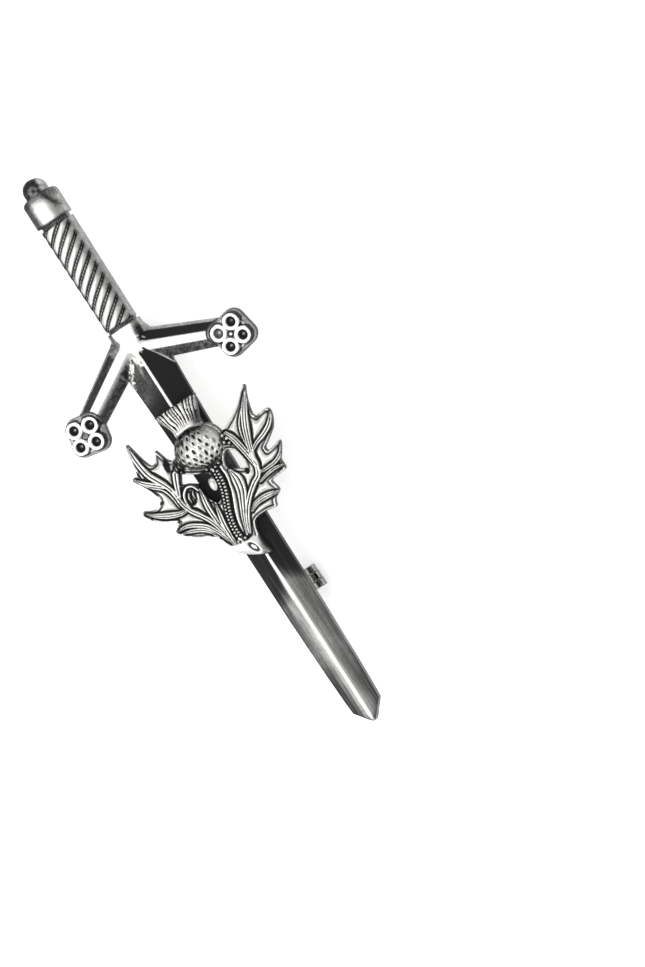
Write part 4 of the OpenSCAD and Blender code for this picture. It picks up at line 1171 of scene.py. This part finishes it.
SWORD_METAL = metal("antiqued sword casting", SILVER, 0.32, 0.4, 0.03)
BLADE_METAL = metal("brushed blade", SILVER, 0.3, 0.15, 0.02, brushed=1.0)
SPRAY_METAL = metal("antiqued thistle casting", SILVER_PAINTED_LIGHTER, 0.2, 0.45, 0.03)
BACK_METAL = metal("polished back", SILVER, 0.1, 0.7, 0.01, tarnish=0.06)
SPRAY_BACK_METAL = metal("stained thistle back", SILVER, 0.2, 0.8, 0.015, tarnish=0.16)
FITTING_METAL = metal("plated fittings", NICKEL, 0.16, 0.6, 0.02, tarnish=0.3)
STEM_METAL = metal("drawn steel wire", STEEL, 0.1, 0.3, 0.01, tarnish=0.12, brushed=0.2)


# Back fittings

STAND_H = BACK_Z
EAR_R = PIVOT[2]
EAR_T = 1.1
EYE_R = 1.8
EYE_T = 1.1
EAR_IN = 0.61
FOOT_T = 0.5
FOOT_OUT = 0.8
RIVET_R = 0.6
RIVET_HEAD_R = 1.1
RIVET_HEAD_T = 0.35
PRESS_GAP = 0.02
CATCH_R = 2.25
CATCH_LEN = 3.8
RIM_LEN = 1.19
ROTOR_LEN = 1.3
SLEEVE_R = 1.3
BORE_R = 0.85
SLOT_HALF = 0.65
LEVER_REACH = 3.4
LEVER_T = 0.9
STEM_R = 0.5
STEM_OFFSET = 1.25
STEM_ROOT = 3.5
STEM_PAST = 6.0
STEM_POINT = 2.0
RUN_GAP = 0.05
# Without a seed the noise starts from the clock
SOLDER_SEED = 1


def lathe(rows, start, way, steps=48, ring=False):
    """Places and faces of a profile turned about an axis. Rows: distance along, radius."""
    way = Vector(way).normalized()
    side = way.orthogonal().normalized()
    other = way.cross(side)
    places = []
    for along, radius in rows:
        for k in range(steps):
            angle = 2 * math.pi * k / steps
            places.append(start + way * along + radius * (math.cos(angle) * side + math.sin(angle) * other))
    pairs = list(zip(range(len(rows) - 1), range(1, len(rows))))
    faces = []
    if ring:
        pairs.append((len(rows) - 1, 0))
    else:
        faces.append(list(range(steps))[::-1])
        faces.append(list(range((len(rows) - 1) * steps, len(rows) * steps)))
    for a, b in pairs:
        for k in range(steps):
            after = (k + 1) % steps
            faces.append([a * steps + k, a * steps + after, b * steps + after, b * steps + k])
    return places, faces


def soft_corner(corner, before, after, soft, steps=3):
    """Rows that round a corner between two directions."""
    rows = []
    for i in range(steps + 1):
        t = i / steps
        near = (1 - t) ** 2
        far = t ** 2
        rows.append(tuple(c + soft * (near * b + far * a) for c, b, a in zip(corner, before, after)))
    return rows


def soft_washer(low, high, inner, outer, soft):
    """Closed profile of a washer with rounded edges."""
    return (soft_corner((low, inner), (0, 1), (1, 0), soft / 2)
            + soft_corner((high, inner), (-1, 0), (0, 1), soft / 2)
            + soft_corner((high, outer), (0, -1), (-1, 0), soft)
            + soft_corner((low, outer), (1, 0), (0, -1), soft))


def slab(outline, low, high, soft, turn):
    """Places and faces of an upright solid on a flat outline, with softened rims, put in place by turn."""
    made = bmesh.new()
    face = made.faces.new([made.verts.new((a, b, low)) for a, b in outline])
    raised = bmesh.ops.extrude_face_region(made, geom=[face])["geom"]
    for vert in (g for g in raised if isinstance(g, bmesh.types.BMVert)):
        vert.co.z = high
    bmesh.ops.recalc_face_normals(made, faces=made.faces)
    rims = [e for e in made.edges if abs(e.verts[0].co.z - e.verts[1].co.z) < 1e-6]
    bmesh.ops.bevel(made, geom=rims, offset=soft, segments=3, profile=0.5, affect="EDGES", clamp_overlap=True)
    made.verts.index_update()
    places = [Vector(turn(*vert.co)) for vert in made.verts]
    faces = []
    # The end faces can be hollow outlines, so they are cut into triangles here
    for face in made.faces:
        ring = [vert.index for vert in face.verts]
        if len(ring) == 4:
            faces.append(ring)
            continue
        below = face.verts[0].co.z < (low + high) / 2
        flat = [vert.co.xy for vert in face.verts]
        if below:
            ring, flat = ring[::-1], flat[::-1]
        _, _, parts, origin, _, _ = delaunay_2d_cdt(flat, [], [list(range(len(flat)))], 1, 1e-6)
        for part in parts:
            corners = [ring[origin[i][0]] for i in part]
            faces.append(corners[::-1] if below else corners)
    # A placement that mirrors would turn the faces inside out
    middle = Vector(turn(0, 0, 0))
    a, b, c = (Vector(turn(*way)) - middle for way in ((1, 0, 0), (0, 1, 0), (0, 0, 1)))
    if a.cross(b).dot(c) < 0:
        faces = [face[::-1] for face in faces]
    made.free()
    return places, faces


def arc(radius, start, end, steps=40):
    """Corners of an arc, in degrees."""
    angles = np.radians(np.linspace(start, end, steps))
    return [(radius * math.cos(a), radius * math.sin(a)) for a in angles]


def slotted(outer, inner, gate, leg=None, top=None):
    """Outline of a ring that is open below, with an upright leg if it has one."""
    out_open = math.degrees(math.asin(gate / outer))
    in_open = math.degrees(math.asin(gate / inner))
    rows = arc(outer, -90 + out_open, 90 if leg is None else math.degrees(math.acos(leg / outer)))
    if leg is not None:
        rows += [(leg, top), (-leg, top)]
        rows += arc(outer, 180 - math.degrees(math.acos(leg / outer)), 270 - out_open)
    else:
        rows += arc(outer, 91, 270 - out_open)
    return rows + arc(inner, 270 - in_open, -90 + in_open)


def rounded_box(half_a, half_b, corner):
    """Outline of a rectangle with rounded corners."""
    rows = []
    for sa, sb, start in ((1, 1, 0), (-1, 1, 90), (-1, -1, 180), (1, -1, 270)):
        for a, b in arc(corner, start, start + 90, 5):
            rows.append((sa * (half_a - corner) + a, sb * (half_b - corner) + b))
    return rows


def roughen(places, size, depth):
    """Moves places a little, like set solder."""
    texture_noise.seed_set(SOLDER_SEED)
    made = []
    for place in places:
        near = Vector(place) / size
        made.append(Vector(place) + depth * Vector(texture_noise.noise_vector(near)))
    return made


def joined(name, parts):
    """One mesh of several parts, in metres."""
    places, faces = [], []
    for part_places, part_faces in parts:
        faces += [[i + len(places) for i in face] for face in part_faces]
        places += [Vector(place) * MM for place in part_places]
    mesh = bpy.data.meshes.new(name)
    mesh.from_pydata(places, [], faces)
    return mesh


def solder_foot(middle, half_x, half_y):
    """A soldered foot with a lumpy fillet of solder round it."""
    x, y = middle
    foot = slab(rounded_box(half_x, half_y, 0.3), STAND_H - FOOT_T, STAND_H + 0.1, 0.12,
                lambda a, b, c: Vector((x + a, y + b, c)))
    rows = [(0.0, 0.05), (0.0, 0.86), (0.1, 0.98), (0.18, 1.04), (0.26, 1.1)]
    places, faces = lathe(rows, Vector(), (0, 0, 1), 64)
    spread = []
    for place in places:
        angle = math.atan2(place.y, place.x)
        side = max(abs(math.cos(angle)), abs(math.sin(angle)), 0.75)
        reach = math.hypot(place.x, place.y) / side
        across = reach * math.cos(angle) * (half_x + 0.1)
        onward = reach * math.sin(angle) * (half_y + 0.1)
        spread.append((x + across, y + onward, STAND_H - 0.26 + place.z))
    return [foot, (roughen(spread, 0.6, 0.1), faces)]


def make_hinge_bracket(material):
    """Two round ears on a soldered foot."""
    x, y, z = PIVOT
    ear = soft_washer(-EAR_T / 2, EAR_T / 2, RIVET_R + PRESS_GAP, EAR_R, 0.18)
    leg = rounded_box(EAR_T / 2 - 0.02, 0.8 * EAR_R, 0.15)
    parts = []
    for side in (-1, 1):
        start = x + side * (EAR_IN + EAR_T / 2)
        parts.append(lathe(ear, Vector((start, y, z)), (1, 0, 0), 64, True))
        parts.append(slab(leg, z + RIVET_R + 0.1, STAND_H - 0.2, 0.05,
                          lambda a, b, c, start=start: Vector((start + a, y + b, c))))
    out = EAR_IN + EAR_T
    parts += solder_foot((x - FOOT_OUT / 2, y), out + FOOT_OUT / 2, EAR_R)
    return piece("hinge_bracket", joined("hinge_bracket", parts), "pin_body", material)


def at_catch(a, b, c):
    """Place of something given across the catch, upward and along it."""
    return Vector((CATCH.x + a, CATCH.y + c, CATCH.z + b))


def make_catch_frame(material):
    """Two slotted rims on a soldered foot."""
    x, y, z = CATCH
    end = CATCH_LEN / 2
    leg = 0.6 * CATCH_R
    outline = slotted(CATCH_R, SLEEVE_R + RUN_GAP, SLOT_HALF, leg, STAND_H - 0.2 - z)
    parts = []
    for low, high in ((-end, -end + RIM_LEN), (end - RIM_LEN, end)):
        parts.append(slab(outline, low, high, 0.12, at_catch))
    half = (2 * CATCH_R + FOOT_OUT) / 2
    parts += solder_foot((x + leg - half, y), half, end)
    return piece("catch_frame", joined("catch_frame", parts), "pin_body", material)


def make_rivet(material):
    """Rivet with two domed heads."""
    reach = EAR_IN + EAR_T + 0.03
    total = reach + RIVET_HEAD_T
    head = [(-total, 0.3), (-total + 0.04, 0.7), (-total + 0.12, 0.95), (-total + 0.22, RIVET_HEAD_R),
            (-reach, RIVET_HEAD_R), (-reach, RIVET_R)]
    rows = head + [(-along, radius) for along, radius in reversed(head)]
    mesh = joined("hinge_rivet", [lathe(rows, PIVOT, (1, 0, 0), 48)])
    return piece("hinge_rivet", mesh, "pin_body", material, ["pivot_rivet"])


def make_stem(material):
    """Sprung wire with a round eye, a thick root and a sharp point."""
    start = PIVOT - Vector((0, 0, STEM_OFFSET))
    way = CATCH - start
    total = way.length + CATCH_LEN / 2 + STEM_PAST
    root = EYE_T / 2 - 0.02
    end = STEM_R * 0.94
    wall_end = way.length - CATCH_LEN / 2 - 0.9
    rows = [(0.75, root - 0.1), (0.8, root)]
    for along in (1.6, 2.4, STEM_ROOT):
        rows.append((along, root + (STEM_R - root) * float(ease(0.8, STEM_ROOT, along))))
    rows += [(wall_end, STEM_R), (total - STEM_POINT, end)]
    for share in (0.25, 0.5, 0.75, 0.9, 1.0):
        rows.append((total - STEM_POINT * (1 - share), end + (0.06 - end) * share ** 1.25))
    washer = soft_washer(-EYE_T / 2, EYE_T / 2, RIVET_R + RUN_GAP, EYE_R, 0.16)
    eye = lathe(washer, PIVOT, (1, 0, 0), 64, True)
    mesh = joined("stem_wire", [eye, lathe(rows, start, way, 32)])
    return piece("stem_wire", mesh, "stem", material, ["pin_stem"])


def make_rotor(material):
    """Slotted drum with a ribbed thumb lever."""
    end, mid = CATCH_LEN / 2, ROTOR_LEN / 2
    sleeve = slotted(SLEEVE_R, BORE_R, SLOT_HALF)
    drum = slotted(CATCH_R - RUN_GAP, SLEEVE_R - 0.05, SLOT_HALF)
    neck = [(CATCH_R + 0.1 + a, b) for a, b in rounded_box(0.6, LEVER_T / 2, 0.1)]
    parts = [slab(sleeve, -end, end, 0.06, at_catch), slab(drum, -mid, mid, 0.12, at_catch),
             slab(neck, -mid, mid, 0.08, at_catch)]
    low, third = CATCH_R + RUN_GAP, CATCH_LEN / 3
    for i in range(3):
        reach = LEVER_REACH - (0.0, 0.06, 0.12)[i]
        bar = [((low + reach) / 2 + a, b) for a, b in rounded_box((reach - low) / 2, LEVER_T / 2, 0.2)]
        parts.append(slab(bar, i * third - end, (i + 1) * third - end, 0.1, at_catch))
    return piece("catch_drum", joined("catch_drum", parts), "rotor", material, ["catch_rotor"])


# Faces whose normal's upward share is less than this belong to a flat back
FACES_BACK = -0.9


def face_numbers(mesh, kind):
    """Centres or normals of a mesh's faces."""
    numbers = np.zeros(len(mesh.polygons) * 3)
    mesh.polygons.foreach_get(kind, numbers)
    return numbers.reshape(-1, 3)


def make_sword():
    """The whole sword: bright and blackened casting, brushed blade and polished back."""
    relief = sword_relief()
    coarse = np.arange(len(relief.rows))
    keep = (relief.rows < 41.5) | (coarse % 3 == 0) | (relief.rows > BLADE_POINT - 0.3)
    mesh = relief_mesh("sword_casting", relief, BACK_Z, 0.14, 0.45, keep)
    made = piece("sword_casting", mesh, "pin_body", SWORD_METAL, ["sword"])
    mesh.materials.append(BLADE_METAL)
    mesh.materials.append(BACK_METAL)
    centres = face_numbers(mesh, "center") / MM
    on_blade = (centres[:, 1] < along_y(BRUSHED_FROM)) & (centres[:, 2] > BACK_Z + 0.01)
    index = np.where(face_numbers(mesh, "normal")[:, 2] < FACES_BACK, 2, np.where(on_blade, 1, 0))
    mesh.polygons.foreach_set("material_index", index.astype(np.int32))
    return made


def make_spray():
    """The thistle spray and its stained back."""
    relief = spray_relief()
    mesh = relief_mesh("thistle_casting", relief, SPRAY_LOW[2], 0.16, 0.8)
    made = piece("thistle_casting", mesh, "pin_body", SPRAY_METAL, ["thistle_spray"])
    mesh.materials.append(SPRAY_BACK_METAL)
    index = np.where(face_numbers(mesh, "normal")[:, 2] < FACES_BACK, 1, 0)
    mesh.polygons.foreach_set("material_index", index.astype(np.int32))
    return made


make_sword()
make_spray()

make_hinge_bracket(FITTING_METAL)
make_catch_frame(FITTING_METAL)
make_rivet(FITTING_METAL)
make_stem(STEM_METAL)
make_rotor(FITTING_METAL)


# Stage: a pale floor, soft lights and the photograph's camera

# Height of the picture's frame at the pin
FRAME_H = 151.7
CAMERA_FAR = 900.0
SENSOR_H = 24.0
# Where the pin's middle lies in the frame, from its centre
PIN_RIGHT = -17.9
PIN_UP = 5.4
# How far the way to the point goes right and down in the frame
AXIS_RIGHT, AXIS_DOWN = 0.5412, 0.8409
# Place along the sword that the camera is set by
MIDDLE_P = 50
FLOOR_HALF = 3000


def make_camera():
    """Looks down at the pin as the photograph does."""
    back = Vector((math.sin(VIEW_TILT), 0, math.cos(VIEW_TILT)))
    across = Vector((math.cos(VIEW_TILT), 0, -math.sin(VIEW_TILT)))
    toward_tip = Vector((0, -1, 0))
    right = AXIS_RIGHT * toward_tip + AXIS_DOWN * across
    up = back.cross(right)
    shift = VIEW_SHIFT + VIEW_DRIFT * (MIDDLE_P - VIEW_DRIFT_FROM)
    middle = Vector((0, along_y(MIDDLE_P), BACK_Z)) - shift * across
    aim = middle - PIN_RIGHT * right - PIN_UP * up
    data = bpy.data.cameras.new("camera")
    data.sensor_fit = "VERTICAL"
    data.sensor_height = SENSOR_H
    data.lens = SENSOR_H * CAMERA_FAR / FRAME_H
    data.clip_start = 0.01
    data.clip_end = 10
    camera = bpy.data.objects.new("camera", data)
    bpy.context.scene.collection.objects.link(camera)
    turn = Matrix((right, up, back)).transposed().to_4x4()
    camera.matrix_world = Matrix.Translation((aim + back * CAMERA_FAR) * MM) @ turn
    bpy.context.scene.camera = camera


def area_light(name, place, size, radiance):
    """A softbox of a given brightness that faces the pin."""
    data = bpy.data.lights.new(name, "AREA")
    data.shape = "RECTANGLE"
    data.size, data.size_y = size[0] * MM, size[1] * MM
    data.energy = radiance * math.pi * data.size * data.size_y
    light = bpy.data.objects.new(name, data)
    bpy.context.scene.collection.objects.link(light)
    light.location = Vector(place) * MM
    light.rotation_euler = Vector(place).to_track_quat("Z", "Y").to_euler()


def make_stage():
    """Pale floor and even light."""
    mesh = bpy.data.meshes.new("floor")
    far = FLOOR_HALF * MM
    mesh.from_pydata([(-far, -far, 0), (far, -far, 0), (far, far, 0), (-far, far, 0)], [], [(0, 1, 2, 3)])
    floor = bpy.data.objects.new("floor", mesh)
    bpy.context.scene.collection.objects.link(floor)
    material = bpy.data.materials.new("pale floor")
    material.use_nodes = True
    shader = material.node_tree.nodes["Principled BSDF"]
    shader.inputs["Base Color"].default_value = (0.92, 0.92, 0.92, 1)
    shader.inputs["Roughness"].default_value = 0.9
    shader.inputs["Emission Color"].default_value = (1, 1, 1, 1)
    shader.inputs["Emission Strength"].default_value = 0.4
    mesh.materials.append(material)
    world = bpy.data.worlds.new("studio")
    world.use_nodes = True
    world.node_tree.nodes["Background"].inputs["Color"].default_value = (1, 1, 1, 1)
    world.node_tree.nodes["Background"].inputs["Strength"].default_value = 0.8
    bpy.context.scene.world = world
    bpy.context.scene.view_settings.view_transform = "Standard"
    area_light("overhead softbox", (-260, 0, 430), (420, 620), 1.35)


make_camera()
make_stage()
